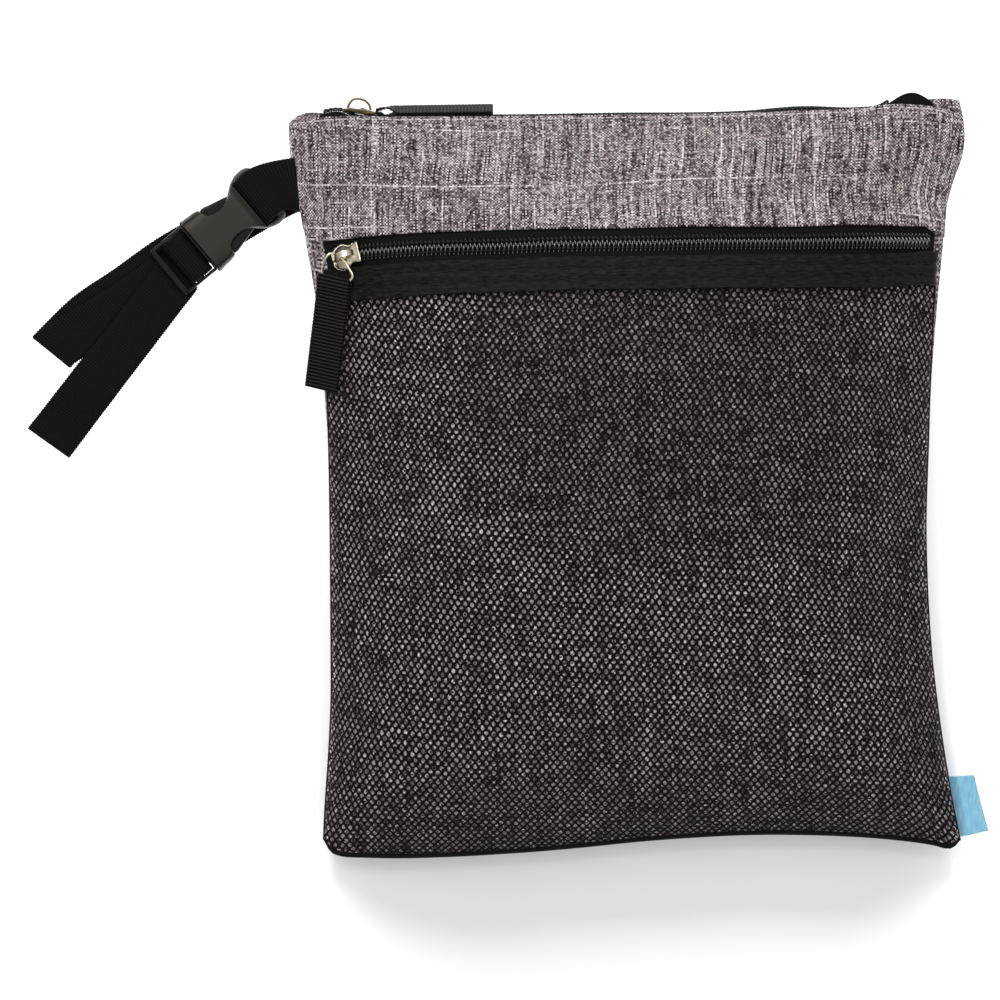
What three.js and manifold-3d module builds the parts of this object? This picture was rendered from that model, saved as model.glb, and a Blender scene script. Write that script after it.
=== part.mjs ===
// A wet and dry bag lying on its back: a woven body with a zip along its mouth, a net pocket over its
// front under a second zip, and a webbing strap with a side release buckle laid out to the left.
// Millimetres, +Z up. The back lies on z = 0, +Y runs from the bottom seam to the mouth, and +X to the
// right as the front is looked at. The origin is under the middle of the bag.
import * as THREE from "three";
import { mergeVertices } from "three/addons/utils/BufferGeometryUtils.js";
import Module from "manifold-3d";

const { lerp, smoothstep, degToRad } = THREE.MathUtils;
const wasm = await Module();
wasm.setup();

// Driving dimensions

const CLOTH = 1.2; // woven wall
const NET = 0.8; // net and zip tape
const RIBBON = 1.0; // binding ribbon over the pocket's top edge
const GAP = 0.3; // clearance between neighbouring pieces

const COLUMNS = 24; // facets across a cloth
const CROWD = 0.6; // how much they crowd towards its edges
const MOUTH_LIP = { rise: 1.5, start: 0.93, end: 1.01 }; // the back's mouth edge, lifted off the floor
// How square the front's cross-section is, and the shares of its length where that changes.
const SHOULDER = { foot: 9, body: 3, mouth: 9, footEnd: 0.3, mouthStart: 0.85 };
const BACK_FLAT = 0.4; // share of the back's half width that lies flat
const BACK_TURN = 4; // how sharply the back turns up to the side seams
const BACK_FOOT = 0.1; // share of the back's length that turns up to the bottom seam
const SEAM_TURN = { side: 0.05, foot: 0.035, most: 1.6 }; // where a wall turns level to meet a seam
const CORNER = { reach: 0.07, thin: 0.55 }; // the bottom corners, where the walls thin as they close up

const POCKET_ZIP = { y: 101.9, slope: 5.4 }; // the yoke's lower edge at mid width, and its rise to the right
const YOKE_OVERLAP = 4; // the tape tucked under the yoke
const YOKE_EASE = { start: 4.6, end: 14 }; // above its edge, where the yoke comes down off the tape
const TAPE_DEPTH = 13; // the tape below the yoke's edge
const BAND_TOP = 11.5; // the ribbon's edges below the yoke's edge
const BAND_FOOT = 25;
const CHAIN = { drop: 6, width: 6.8, height: 2 }; // the closed coils of a zip
// Where the pocket's zip starts and ends, from the left seam (0) to the right seam (1).
const POCKET_ENDS = { tape: [0.03, 0.982], band: [0.028, 0.984], chain: [0.045, 0.972] };
// The mouth's zip in the same shares. Its tape has legs inside the bag and a flat face of twice the half.
const TOP_ZIP = { start: 0.045, end: 0.955, chainStart: 0.1, chainEnd: 0.87, columns: 30 };
const TOP_TAPE = { leg: 0.983, rim: 0.998, half: 2.9, turn: 0.4 };
const TOP_CHAIN = { off: 1.7, width: 5 };

const SLIDER = { length: 11, plate: 1.6, flange: 0.8, arch: 7, archWidth: 2.2, archWall: 1 };
const SLIDER_WIDTH = { pocket: 10, mouth: 8.6 };
// A slider's outline from its nose, in shares of its half length and half width.
const SLIDER_OUTLINE = [
  { along: -1, half: 0.62 },
  { along: -0.35, half: 1 },
  { along: 0.8, half: 1 },
  { along: 1, half: 0.75 },
];
const WIRE = 1.2; // diameter of a pull's bail
const TAB = { width: 13.5, length: 47, layer: 1.1, flat: 6, neck: 2.2 }; // a pull tab of doubled webbing
// The pocket's pull: its slider, the fold of its tab, the tab's end, and the tab's roll in degrees.
const POCKET_PULL = { x: -114.9, loop: [-119, 84.4, 28.4], end: [-124.6, 38.8, 26.4], roll: 24 };
// The mouth's pull: its slider, and the fold of its tab to the right of it, proud of the mouth.
const TOP_PULL = { x: -106.8, loop: 10.6, proud: 6.8, z: 8.7, lean: 14 };

const WEBBING = { width: 20, thick: 1.4 };
const BUCKLE = { x: -187.9, y: 86, turn: 40 }; // middle of the ladder's end bar, and the axis to the right
const BUCKLE_BASE = 1.8; // underside of the buckle's body above the floor
const FRAME_BASE = 5.1; // underside of the ladder frame, above two layers of webbing and the tail
const FRAME_HIGH = 3;

// The side seams from the bottom corner up: their places to the left and right, and their lift.
const SIDE_SEAMS = [
  { y: -152, left: -125.5, right: 136, lift: 7 },
  { y: -130, left: -124.3, right: 133.6, lift: 10 },
  { y: -100, left: -122, right: 128.2, lift: 14 },
  { y: -60, left: -121.7, right: 123.3, lift: 16.5 },
  { y: -20, left: -121.8, right: 121.6, lift: 17 },
  { y: 30, left: -123.7, right: 122.9, lift: 16.5 },
  { y: 70, left: -126.9, right: 125.7, lift: 14.5 },
  { y: 103, left: -132.7, right: 128.6, lift: 11.5 },
  { y: 120, left: -136, right: 131.3, lift: 9.5 },
  { y: 153, left: -139, right: 137.5, lift: 6.5 },
];

// The bottom seam and the mouth, from the left seam (0) to the right seam (1).
const HEMS = [
  { across: 0, bottom: -147, mouth: 147.3, backMouth: 151.2 },
  { across: 0.03, bottom: -150.8, mouth: 147.6, backMouth: 151.2 },
  { across: 0.15, bottom: -152.7, mouth: 148, backMouth: 150 },
  { across: 0.33, bottom: -150.4, mouth: 148.3, backMouth: 150 },
  { across: 0.52, bottom: -145.8, mouth: 148.8, backMouth: 150.6 },
  { across: 0.7, bottom: -143.5, mouth: 150, backMouth: 152 },
  { across: 0.85, bottom: -144.8, mouth: 151.4, backMouth: 153.6 },
  { across: 0.97, bottom: -149.6, mouth: 152.4, backMouth: 156 },
  { across: 1, bottom: -147.5, mouth: 152.6, backMouth: 156 },
];

// The front's rise above the side seams along the middle, from the bottom seam (0) to the mouth (1).
const FRONT_RISE = [
  { along: 0, rise: 1 },
  { along: 0.02, rise: 9 },
  { along: 0.06, rise: 19 },
  { along: 0.13, rise: 29 },
  { along: 0.25, rise: 37 },
  { along: 0.45, rise: 42 },
  { along: 0.6, rise: 41 },
  { along: 0.75, rise: 36.5 },
  { along: 0.84, rise: 31 },
  { along: 0.92, rise: 20.5 },
  { along: 1, rise: 8 },
];

// How far the net's sewn edge stands in from the side seams, from the bottom (0) to the mouth (1).
const NET_INSET = [
  { along: 0, left: 0, right: 0 },
  { along: 0.3, left: 0.003, right: 0 },
  { along: 0.5, left: 0.012, right: 0.004 },
  { along: 0.75, left: 0.022, right: 0.014 },
  { along: 0.9, left: 0.026, right: 0.02 },
];

// Where the mouth's zip tape stands proud of the mouth, from left to right.
const TAPE_PROUD = [
  { across: 0.04, proud: 1.6 },
  { across: 0.068, proud: 3.4 },
  { across: 0.09, proud: 1 },
  { across: 0.12, proud: 0.8 },
  { across: 0.5, proud: 0.8 },
  { across: 0.86, proud: 0.9 },
  { across: 0.92, proud: 5.6 },
  { across: 0.955, proud: 2.4 },
];

// The long strap from the side seam to its fold and back to the buckle: the middle of the webbing, the
// direction across it in degrees, and half its length that way. The end at the seam is cut aslant.
const STRAP_OUT = [
  { x: -137.2, y: 121.5, z: 6.3, across: 99.5, half: 10.6 },
  { x: -141, y: 119.3, z: 2.6, across: 102, half: 10.5 },
  { x: -145, y: 117, z: 0.8, across: 107, half: 10.2 },
  { x: -150, y: 114.2, z: 0.7, across: 115, half: 10 },
  { x: -157, y: 110.1, z: 0.7, across: 121, half: 10 },
  { x: -174.6, y: 99.7, z: 0.7, across: 122, half: 10 },
  { x: -189.6, y: 90.7, z: 0.7, across: 125, half: 10 },
  { x: -204.6, y: 80, z: 0.7, across: 129, half: 10 },
  { x: -219.6, y: 69.2, z: 0.7, across: 134, half: 10 },
  { x: -229, y: 60, z: 0.7, across: 139, half: 10 },
];
const STRAP_FOLD = { x: -234.4, y: 53.9, across: 141, low: 0.7, high: 2.4, steps: 6 };
const STRAP_BACK = [
  { x: -225, y: 60.4, z: 2.4, across: 132, half: 10 },
  { x: -213.8, y: 67.5, z: 2.4, across: 127, half: 10 },
  { x: -197, y: 78.8, z: 2.4, across: 128, half: 10 },
];

// The strap's way through the ladder, along the buckle's axis from the end bar, and its height.
const LADDER = [
  { along: 2, z: 2.4 },
  { along: 9.4, z: 2.4 },
  { along: 11.6, z: 3.3 },
  { along: 12.3, z: 5 },
  { along: 12.2, z: 7.6 },
  { along: 11, z: 8.9 },
  { along: 8.4, z: 9.2 },
  { along: 5.8, z: 8.9 },
  { along: 4.7, z: 7.6 },
  { along: 4.5, z: 5.9 },
  { along: 3.2, z: 4.5 },
  { along: 0, z: 4.1 },
];

// The tail, from the end bar to its hemmed end.
const STRAP_TAIL = [
  { x: -193, y: 81.2, z: 4.1, across: 136, half: 10 },
  { x: -199, y: 72.5, z: 4.1, across: 142, half: 10 },
  { x: -210, y: 55, z: 4.1, across: 145, half: 10 },
  { x: -217, y: 44.6, z: 4, across: 145, half: 10 },
  { x: -225, y: 32.8, z: 2.2, across: 145, half: 10 },
  { x: -231, y: 23.8, z: 0.9, across: 145, half: 10 },
  { x: -236.1, y: 15.9, z: 0.7, across: 145, half: 10 },
];

// The short strap looped through the buckle's bar, seen as one side of its loop.
const LOOP_SEAM = { x: -137.2, y: 121.5, across: 99.5, half: 10.6, high: 10.5, low: 8.8 };
const LOOP_BAR = { along: 50.3, z: 6.3, radius: 1.2, steps: 6, clear: 52.4 };

// The catch half of the buckle, half of its outline from the mouth back: a waist between two flares.
const CATCH_BODY = [
  { along: 16, half: 12.9 },
  { along: 17.2, half: 13.2 },
  { along: 25.3, half: 11.9 },
  { along: 27, half: 8.2 },
  { along: 29.5, half: 6.9 },
  { along: 33, half: 6.8 },
  { along: 36.5, half: 7.6 },
  { along: 40.3, half: 10.3 },
  { along: 42, half: 11.5 },
];
const CATCH_EARS = [
  { along: 37.5, half: 8.2 },
  { along: 40.3, half: 10.3 },
  { along: 44.3, half: 12.7 },
  { along: 49.5, half: 12.9 },
  { along: 51.7, half: 11.6 },
];
const CATCH = { high: 8.6, earBase: 3.5, earHigh: 5.2, slotStart: 42.8, slotHalf: 10.5 };
const POUCH = { start: 15, end: 37, half: 10.9, base: 4.6, high: 4 };

// One of the plug half's prongs: its outer edge bellies out into the catch's waist as a button.
const PRONG = [
  { along: 13.8, outer: 10.6, inner: 7.4 },
  { along: 24.5, outer: 10.6, inner: 7.4 },
  { along: 27, outer: 11.2, inner: 7.9 },
  { along: 31, outer: 10.6, inner: 7.6 },
  { along: 36, outer: 8.7, inner: 7.3 },
];
// The plug half's ladder frame, half of its outline from the end bar to the tongue inside the catch.
const FRAME = [
  { along: -1.3, half: 10.2 },
  { along: 0, half: 11.7 },
  { along: 14.6, half: 11.7 },
  { along: 15.4, half: 10.6 },
  { along: 17.6, half: 10.6 },
];
const WINDOWS = { half: 10.5, endBar: 1.3, barStart: 6.6, barEnd: 10.2, tongue: 13.8 };

const LABEL = { top: -120.6, foot: -144.6, topReach: 7.3, footReach: 10.6, slant: 0.1, thick: 1 };

// Finishes

const HEATHER = { color: "#8d8385", roughness: 0.9, metalness: 0 };
const NET_BLACK = { color: "#1c1a1b", roughness: 0.75, metalness: 0 };
const RIBBON_BLACK = { color: "#21201f", roughness: 0.55, metalness: 0 };
const TAPE_BLACK = { color: "#1b1b1b", roughness: 0.7, metalness: 0 };
const COIL_BLACK = { color: "#2b2a2a", roughness: 0.35, metalness: 0 };
const NICKEL = { color: "#cbc5b8", roughness: 0.22, metalness: 1 };
const WEB_BLACK = { color: "#181818", roughness: 0.7, metalness: 0 };
const PLASTIC = { color: "#3d3937", roughness: 0.45, metalness: 0 };
const LABEL_BLUE = { color: "#a6cbe3", roughness: 0.6, metalness: 0 };

const bag = new THREE.Group();

function piece(name, geometry, finish, parent = bag) {
  const mesh = new THREE.Mesh(geometry, new THREE.MeshStandardMaterial(finish));
  mesh.name = name;
  parent.add(mesh);
}

// Solids

// A closed geometry from points and triangles, turned to face out.
function closed(points, triangles) {
  const volume = triangles.reduce((sum, [a, b, c]) => {
    const across = points[b].clone().cross(points[c]);
    return sum + points[a].dot(across);
  }, 0);
  const facing = volume < 0 ? triangles.map(([a, b, c]) => [a, c, b]) : triangles;
  return new THREE.BufferGeometry().setFromPoints(points).setIndex(facing.flat());
}

// A sheet between two grids of points that run side by side.
function slab(upper, lower) {
  const rows = upper.length;
  const columns = upper[0].length;
  const points = [...upper.flat(), ...lower.flat()];
  const triangles = [];
  const quad = (a, b, c, d) => triangles.push([a, b, c], [a, c, d]);
  const top = (i, j) => i * columns + j;
  const foot = (i, j) => rows * columns + i * columns + j;
  for (let i = 0; i < rows - 1; i++) {
    for (let j = 0; j < columns - 1; j++) {
      quad(top(i, j), top(i, j + 1), top(i + 1, j + 1), top(i + 1, j));
      quad(foot(i, j), foot(i + 1, j), foot(i + 1, j + 1), foot(i, j + 1));
    }
    quad(top(i, 0), top(i + 1, 0), foot(i + 1, 0), foot(i, 0));
    quad(top(i + 1, columns - 1), top(i, columns - 1), foot(i, columns - 1), foot(i + 1, columns - 1));
  }
  for (let j = 0; j < columns - 1; j++) {
    quad(top(0, j + 1), top(0, j), foot(0, j), foot(0, j + 1));
    quad(top(rows - 1, j), top(rows - 1, j + 1), foot(rows - 1, j + 1), foot(rows - 1, j));
  }
  return closed(points, triangles);
}

function toSolid(geometry) {
  const bare = geometry.clone();
  bare.deleteAttribute("normal");
  bare.deleteAttribute("uv");
  const merged = mergeVertices(bare, 1e-4);
  const vertProperties = merged.getAttribute("position").array;
  return new wasm.Manifold(
    new wasm.Mesh({ numProp: 3, vertProperties, triVerts: new Uint32Array(merged.index.array) }),
  );
}

function toGeometry(solid) {
  const { vertProperties, triVerts } = solid.getMesh();
  const geometry = new THREE.BufferGeometry();
  geometry.setAttribute("position", new THREE.BufferAttribute(vertProperties, 3));
  return geometry.setIndex(new THREE.BufferAttribute(triVerts, 1));
}

const join = (...geometries) => toGeometry(geometries.map(toSolid).reduce((a, b) => a.add(b)));
const cut = (geometry, ...tools) =>
  toGeometry(tools.map(toSolid).reduce((a, b) => a.subtract(b), toSolid(geometry)));

// A box given by its lowest and highest corners.
function box(low, high) {
  const size = high.map((value, axis) => value - low[axis]);
  const middle = high.map((value, axis) => (value + low[axis]) / 2);
  return new THREE.BoxGeometry(...size).translate(...middle);
}

// Both sides of an outline whose rows give half its width.
const mirrored = (rows) => [
  ...rows.map((row) => [row.along, -row.half]),
  ...rows.toReversed().map((row) => [row.along, row.half]),
];

// A plate of an outline in the XY plane, from one height to another.
function plate(outline, base, high) {
  const shape = new THREE.Shape(outline.map(([x, y]) => new THREE.Vector2(x, y)));
  return new THREE.ExtrudeGeometry(shape, { depth: high, bevelEnabled: false }).translate(0, 0, base);
}

// The bag's body

// A smooth curve through one column of a table, read at a value of its first column.
function curve(table, name) {
  const key = Object.keys(table[0])[0];
  const at = table.map((row) => row[key]);
  const values = table.map((row) => row[name]);
  const through = new THREE.CubicInterpolant(at, values, 1, [0]);
  return (t) => through.evaluate(t)[0];
}

const seam = {
  left: curve(SIDE_SEAMS, "left"),
  right: curve(SIDE_SEAMS, "right"),
  lift: curve(SIDE_SEAMS, "lift"),
};
const hem = {
  bottom: curve(HEMS, "bottom"),
  mouth: curve(HEMS, "mouth"),
  back: curve(HEMS, "backMouth"),
};
const frontRise = curve(FRONT_RISE, "rise");
const netInset = { left: curve(NET_INSET, "left"), right: curve(NET_INSET, "right") };

// Places on the bag go by u, from the left seam to the right, and v, from the bottom seam to the mouth.
function plan(u, v) {
  const y = lerp(hem.bottom(u), hem.mouth(u), v);
  return { x: lerp(seam.left(y), seam.right(y), u), y };
}

const along = (u, y) => (y - hem.bottom(u)) / (hem.mouth(u) - hem.bottom(u));
const across = (x, y) => (x - seam.left(y)) / (seam.right(y) - seam.left(y));
const yokeEdge = (u) => POCKET_ZIP.y + POCKET_ZIP.slope * (u - 0.5);

// The front stands over the seams in a crown, squarer at the bottom and the mouth.
function crown(u, v) {
  const foot = lerp(SHOULDER.foot, SHOULDER.body, smoothstep(v, 0, SHOULDER.footEnd));
  const square = lerp(foot, SHOULDER.mouth, smoothstep(v, SHOULDER.mouthStart, 1));
  return 1 - Math.abs(2 * u - 1) ** square;
}

const frontHeight = (u, v) => seam.lift(plan(u, v).y) + GAP / 2 + frontRise(v) * crown(u, v);

// The back lies on the floor, turns up to the side and bottom seams, and lifts a little at the mouth.
function backHeight(u, v) {
  const side = Math.max(0, (Math.abs(2 * u - 1) - BACK_FLAT) / (1 - BACK_FLAT)) ** BACK_TURN;
  const foot = Math.max(0, 1 - v / BACK_FOOT) ** 2;
  const turned = 1 - (1 - side) * (1 - foot);
  const lip = MOUTH_LIP.rise * smoothstep(v, MOUTH_LIP.start, MOUTH_LIP.end) * (1 - side);
  return (seam.lift(plan(u, v).y) - GAP / 2) * turned + frontRise(0) * crown(u, 0) * foot + lip;
}

// A point at a distance out from the front or the back. At a seam the wall ends level with the floor, so
// that the front and the back meet there.
function skin(height, facing) {
  const step = 0.004;
  const point = (u, v) => {
    const { x, y } = plan(u, v);
    return new THREE.Vector3(x, y, height(u, v));
  };
  return (u, v, out) => {
    const alongU = point(Math.min(u + step, 1), v).sub(point(Math.max(u - step, 0), v));
    const alongV = point(u, v + step).sub(point(u, Math.max(v - step, 0)));
    const normal = alongU.cross(alongV).normalize().multiplyScalar(facing);
    const level = smoothstep(Math.min(u, 1 - u), 0, SEAM_TURN.side) * smoothstep(v, 0, SEAM_TURN.foot);
    const way = new THREE.Vector3(normal.x, normal.y, normal.z * level).normalize();
    const reach = Math.min(SEAM_TURN.most, 1 / way.dot(normal));
    return point(u, v).addScaledVector(way, out * reach);
  };
}

const front = skin(frontHeight, 1);
const back = skin(backHeight, -1);

// Steps from 0 to 1 that crowd together at the ends by the share given.
const steps = (count, crowd) =>
  Array.from({ length: count + 1 }, (_, i) => {
    const even = i / count;
    return lerp(even, (1 - Math.cos(Math.PI * even)) / 2, crowd);
  });

// A cloth on the front or the back, in stretches between edges across it, and between two heights out
// from it. Cloths that share their edges share their rows, so they lie evenly on each other.
function cloth({ on, edges, rows, left = () => 0, right = () => 1, near, far, crowd = 0 }) {
  const stops = rows.flatMap((count, stretch) => {
    const shares = steps(count, crowd).slice(stretch ? 1 : 0);
    return shares.map((t) => ({ t, low: edges[stretch], high: edges[stretch + 1] }));
  });
  const grid = (out) =>
    stops.map(({ t, low, high }) =>
      steps(COLUMNS, CROWD).map((s) => {
        const v = lerp(along(s, low(s)), along(s, high(s)), t);
        const u = lerp(left(v), right(v), s);
        return on(u, v, out(u, v));
      }),
    );
  return slab(grid(far), grid(near));
}

const at = (out) => () => out;

// The wall thins where front and back close up in the bottom corners.
function inside(u, v) {
  const clear = smoothstep(Math.hypot(Math.min(u, 1 - u), v), 0, CORNER.reach);
  return -CLOTH * lerp(CORNER.thin, 1, clear);
}

piece(
  "back_panel",
  cloth({ on: back, edges: [hem.bottom, hem.back], rows: [22], near: inside, far: at(0), crowd: CROWD }),
  HEATHER,
);

const TAPE_TOP = GAP + NET;
const tapeFoot = (u) => yokeEdge(u) - TAPE_DEPTH;
const netTop = (u) => tapeFoot(u) - 2 * GAP;
const panelTop = (u) => yokeEdge(u) + YOKE_OVERLAP - 1;
piece(
  "front_panel",
  cloth({
    on: front,
    edges: [hem.bottom, netTop, panelTop],
    rows: [18, 2],
    near: inside,
    far: at(0),
    crowd: CROWD,
  }),
  HEATHER,
);

// The yoke lies over the tape at its lower edge and takes the front's own place above it.
function yokeInside(u, v) {
  const above = plan(u, v).y - yokeEdge(u);
  return lerp(TAPE_TOP + GAP, -CLOTH, smoothstep(above, YOKE_EASE.start, YOKE_EASE.end));
}
piece(
  "yoke",
  cloth({
    on: front,
    edges: [yokeEdge, hem.mouth],
    rows: [8],
    near: yokeInside,
    far: (u, v) => yokeInside(u, v) + CLOTH,
  }),
  HEATHER,
);

piece(
  "mesh_pocket",
  cloth({
    on: front,
    edges: [hem.bottom, netTop],
    rows: [18],
    left: netInset.left,
    right: (v) => 1 - netInset.right(v),
    near: at(GAP),
    far: at(TAPE_TOP),
    crowd: CROWD,
  }),
  NET_BLACK,
);

// The pocket's zip

piece(
  "pocket_zip_tape",
  cloth({
    on: front,
    edges: [tapeFoot, (u) => yokeEdge(u) + YOKE_OVERLAP],
    rows: [3],
    left: at(POCKET_ENDS.tape[0]),
    right: at(POCKET_ENDS.tape[1]),
    near: at(GAP),
    far: at(TAPE_TOP),
  }),
  TAPE_BLACK,
);

const OVER_TAPE = TAPE_TOP + GAP;
piece(
  "pocket_band",
  cloth({
    on: front,
    edges: [(u) => yokeEdge(u) - BAND_FOOT, (u) => yokeEdge(u) - BAND_TOP],
    rows: [3],
    left: at(POCKET_ENDS.band[0]),
    right: at(POCKET_ENDS.band[1]),
    near: at(OVER_TAPE),
    far: at(OVER_TAPE + RIBBON),
  }),
  RIBBON_BLACK,
);

const chainEdge = (sign) => (u) => yokeEdge(u) - CHAIN.drop + (sign * CHAIN.width) / 2;
piece(
  "pocket_zip_chain",
  cloth({
    on: front,
    edges: [chainEdge(-1), chainEdge(1)],
    rows: [2],
    left: at(POCKET_ENDS.chain[0]),
    right: at(POCKET_ENDS.chain[1]),
    near: at(OVER_TAPE),
    far: at(OVER_TAPE + CHAIN.height),
  }),
  COIL_BLACK,
);

// A zip slider over a chain: its plate, the flanges beside the chain, and the arch that holds the bail.
// Its own x runs along the chain, and z away from it, from the top of the chain.
function slider(width) {
  const { length, plate: thick, flange, arch, archWidth, archWall } = SLIDER;
  const side = width / 2;
  const outline = SLIDER_OUTLINE.map((row) => ({ along: (row.along * length) / 2, half: row.half * side }));
  const body = plate(mirrored(outline), GAP, thick);
  const [, cheekStart, cheekEnd] = outline.map((row) => row.along);
  const cheek = (y) =>
    box([cheekStart, y - flange / 2, GAP - CHAIN.height], [cheekEnd, y + flange / 2, GAP + thick / 2]);
  const roof = GAP + thick + WIRE + 2 * GAP;
  const bow = new THREE.Shape();
  bow.absellipse(0, GAP + thick / 2, arch / 2, roof + archWall - GAP - thick / 2, 0, Math.PI);
  const eye = new THREE.Path();
  eye.absellipse(0, GAP + thick * 0.75, arch / 2 - archWall, roof - GAP - thick * 0.75, 0, Math.PI);
  bow.holes.push(eye);
  const hoop = new THREE.ExtrudeGeometry(bow, { depth: archWidth, bevelEnabled: false, curveSegments: 8 });
  hoop.translate(0, 0, -archWidth / 2).rotateX(Math.PI / 2);
  return join(body, cheek(side - flange / 2), cheek(flange / 2 - side), hoop);
}

// The height of the wire's middle under a slider's arch, above the top of the chain.
const WIRE_SEAT = GAP + SLIDER.plate + GAP + WIRE / 2;

// A pull's bail: a wire bent from the middle of the tab's fold, through the places given, and back to it.
function bail(loop, side, way) {
  const half = TAB.width / 2;
  const on = (share) => loop.clone().addScaledVector(side, share);
  const stops = [on(0.3), on(half), on(half + 1), ...way, on(-half - 1), on(-half), on(-0.3)];
  const route = new THREE.CatmullRomCurve3(stops, false, "centripetal");
  const round = new THREE.Shape().absarc(0, 0, WIRE / 2, 0, 2 * Math.PI);
  const section = new THREE.Shape(round.getPoints(3).slice(0, -1));
  return new THREE.ExtrudeGeometry(section, { steps: 44, extrudePath: route, bevelEnabled: false });
}

// A flat band swept along stations. Each has a middle, a direction across and half the width that way.
function band(stations, thick) {
  const upper = [];
  const lower = [];
  stations.forEach(({ middle, side, half }, i) => {
    const before = stations[Math.max(i - 1, 0)].middle;
    const after = stations[Math.min(i + 1, stations.length - 1)].middle;
    const ahead = after.clone().sub(before);
    const normal = side.clone().cross(ahead).normalize();
    const edge = (sign) => middle.clone().addScaledVector(side, sign * half);
    upper.push([edge(-1).addScaledVector(normal, thick / 2), edge(1).addScaledVector(normal, thick / 2)]);
    lower.push([edge(-1).addScaledVector(normal, -thick / 2), edge(1).addScaledVector(normal, -thick / 2)]);
  });
  return slab(upper, lower);
}

// A pull tab: webbing folded round the bail's wide end, its two cut ends lying together.
function tab(loop, ahead, side) {
  const normal = side.clone().cross(ahead).normalize();
  const turn = WIRE / 2 + GAP + TAB.layer / 2;
  const closeness = TAB.layer / 2 + GAP / 2;
  const half = TAB.width / 2;
  const place = (s, n) => loop.clone().addScaledVector(ahead, s).addScaledVector(normal, n);
  const layer = (sign) => [
    { middle: place(TAB.length, sign * closeness), side, half },
    { middle: place(TAB.length / 2, sign * closeness), side, half },
    { middle: place(TAB.flat, sign * closeness), side, half },
    { middle: place(TAB.neck, sign * turn), side, half },
  ];
  const bend = [90, 135, 180, 225, 270].map((degrees) => ({
    middle: place(turn * Math.cos(degToRad(degrees)), turn * Math.sin(degToRad(degrees))),
    side,
    half,
  }));
  return band([...layer(1), ...bend, ...layer(-1).reverse()], TAB.layer);
}

// The pocket's slider stands at the left end of its chain, and its tab lies down the left seam.
const sliderU = across(POCKET_PULL.x, POCKET_ZIP.y - CHAIN.drop);
const sliderV = along(sliderU, yokeEdge(sliderU) - CHAIN.drop);
const sliderHalf = SLIDER.length / 2 / (seam.right(POCKET_ZIP.y) - seam.left(POCKET_ZIP.y));
const onChain = (u, out) => front(u, sliderV, OVER_TAPE + CHAIN.height + out);
const seat = onChain(sliderU, 0);
const alongChain = onChain(sliderU + sliderHalf, 0).sub(onChain(sliderU - sliderHalf, 0)).normalize();
const acrossChain = onChain(sliderU, 1).sub(seat).cross(alongChain).normalize();
const outOfChain = alongChain.clone().cross(acrossChain);
const pocketSlider = new THREE.Group();
const onSeat = new THREE.Matrix4().makeBasis(alongChain, acrossChain, outOfChain).setPosition(seat);
pocketSlider.applyMatrix4(onSeat);
bag.add(pocketSlider);
piece("pocket_zip_slider", slider(SLIDER_WIDTH.pocket), NICKEL, pocketSlider);

const pocketLoop = new THREE.Vector3(...POCKET_PULL.loop);
const pocketAhead = new THREE.Vector3(...POCKET_PULL.end).sub(pocketLoop).normalize();
const roll = degToRad(POCKET_PULL.roll);
const pocketSide = new THREE.Vector3(Math.cos(roll), 0, Math.sin(roll));
pocketSide.addScaledVector(pocketAhead, -pocketSide.dot(pocketAhead)).normalize();
// Its wire goes up under the arch, round the slider's left end and down again, in the slider's own frame.
const POCKET_WAY = [
  [5.6, -6.2, WIRE_SEAT],
  [1, -3.6, WIRE_SEAT],
  [0, 0, WIRE_SEAT],
  [-0.8, 3.4, WIRE_SEAT],
  [-4.2, 6, WIRE_SEAT],
  [-7.8, 2.6, WIRE_SEAT],
  [-8.6, -3, WIRE_SEAT],
];
pocketSlider.updateMatrixWorld();
const pocketWay = POCKET_WAY.map((stop) => pocketSlider.localToWorld(new THREE.Vector3(...stop)));
piece("pocket_pull_bail", bail(pocketLoop, pocketSide, pocketWay), NICKEL);
piece("pocket_pull_tab", tab(pocketLoop, pocketAhead, pocketSide), WEB_BLACK);

// The mouth's zip

// Its tape runs from inside the yoke round a flat face, which the chain lies on, to inside the back.
const proud = curve(TAPE_PROUD, "proud");
function mouthSection(u, wall) {
  const under = -CLOTH - 1.5 * GAP - wall;
  const top = front(u, TOP_TAPE.rim, under);
  const foot = back(u, TOP_TAPE.rim, under);
  const middle = (top.z + foot.z) / 2;
  const half = Math.min(TOP_TAPE.half, (top.z - foot.z) / 2 - TOP_TAPE.turn);
  const face = hem.mouth(u) + proud(u) - wall;
  const x = (top.x + foot.x) / 2;
  return {
    middle: new THREE.Vector3(x, face, middle),
    line: [
      front(u, TOP_TAPE.leg, under),
      top,
      new THREE.Vector3(x, face, middle + half - wall / 2),
      new THREE.Vector3(x, face, middle - half + wall / 2),
      foot,
      back(u, TOP_TAPE.leg, under),
    ],
  };
}
const tapeSteps = steps(TOP_ZIP.columns, 0.5).map((t) => lerp(TOP_ZIP.start, TOP_ZIP.end, t));
piece(
  "top_zip_tape",
  slab(
    tapeSteps.map((u) => mouthSection(u, 0).line),
    tapeSteps.map((u) => mouthSection(u, NET).line),
  ),
  TAPE_BLACK,
);

function chainRow(out) {
  return steps(TOP_ZIP.columns, 0).map((t) => {
    const { middle } = mouthSection(lerp(TOP_ZIP.chainStart, TOP_ZIP.chainEnd, t), 0);
    const y = middle.y + out;
    const rim = TOP_CHAIN.width / 2;
    return [new THREE.Vector3(middle.x, y, middle.z + rim), new THREE.Vector3(middle.x, y, middle.z - rim)];
  });
}
piece("top_zip_chain", slab(chainRow(GAP + TOP_CHAIN.off), chainRow(GAP)), COIL_BLACK);

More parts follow.
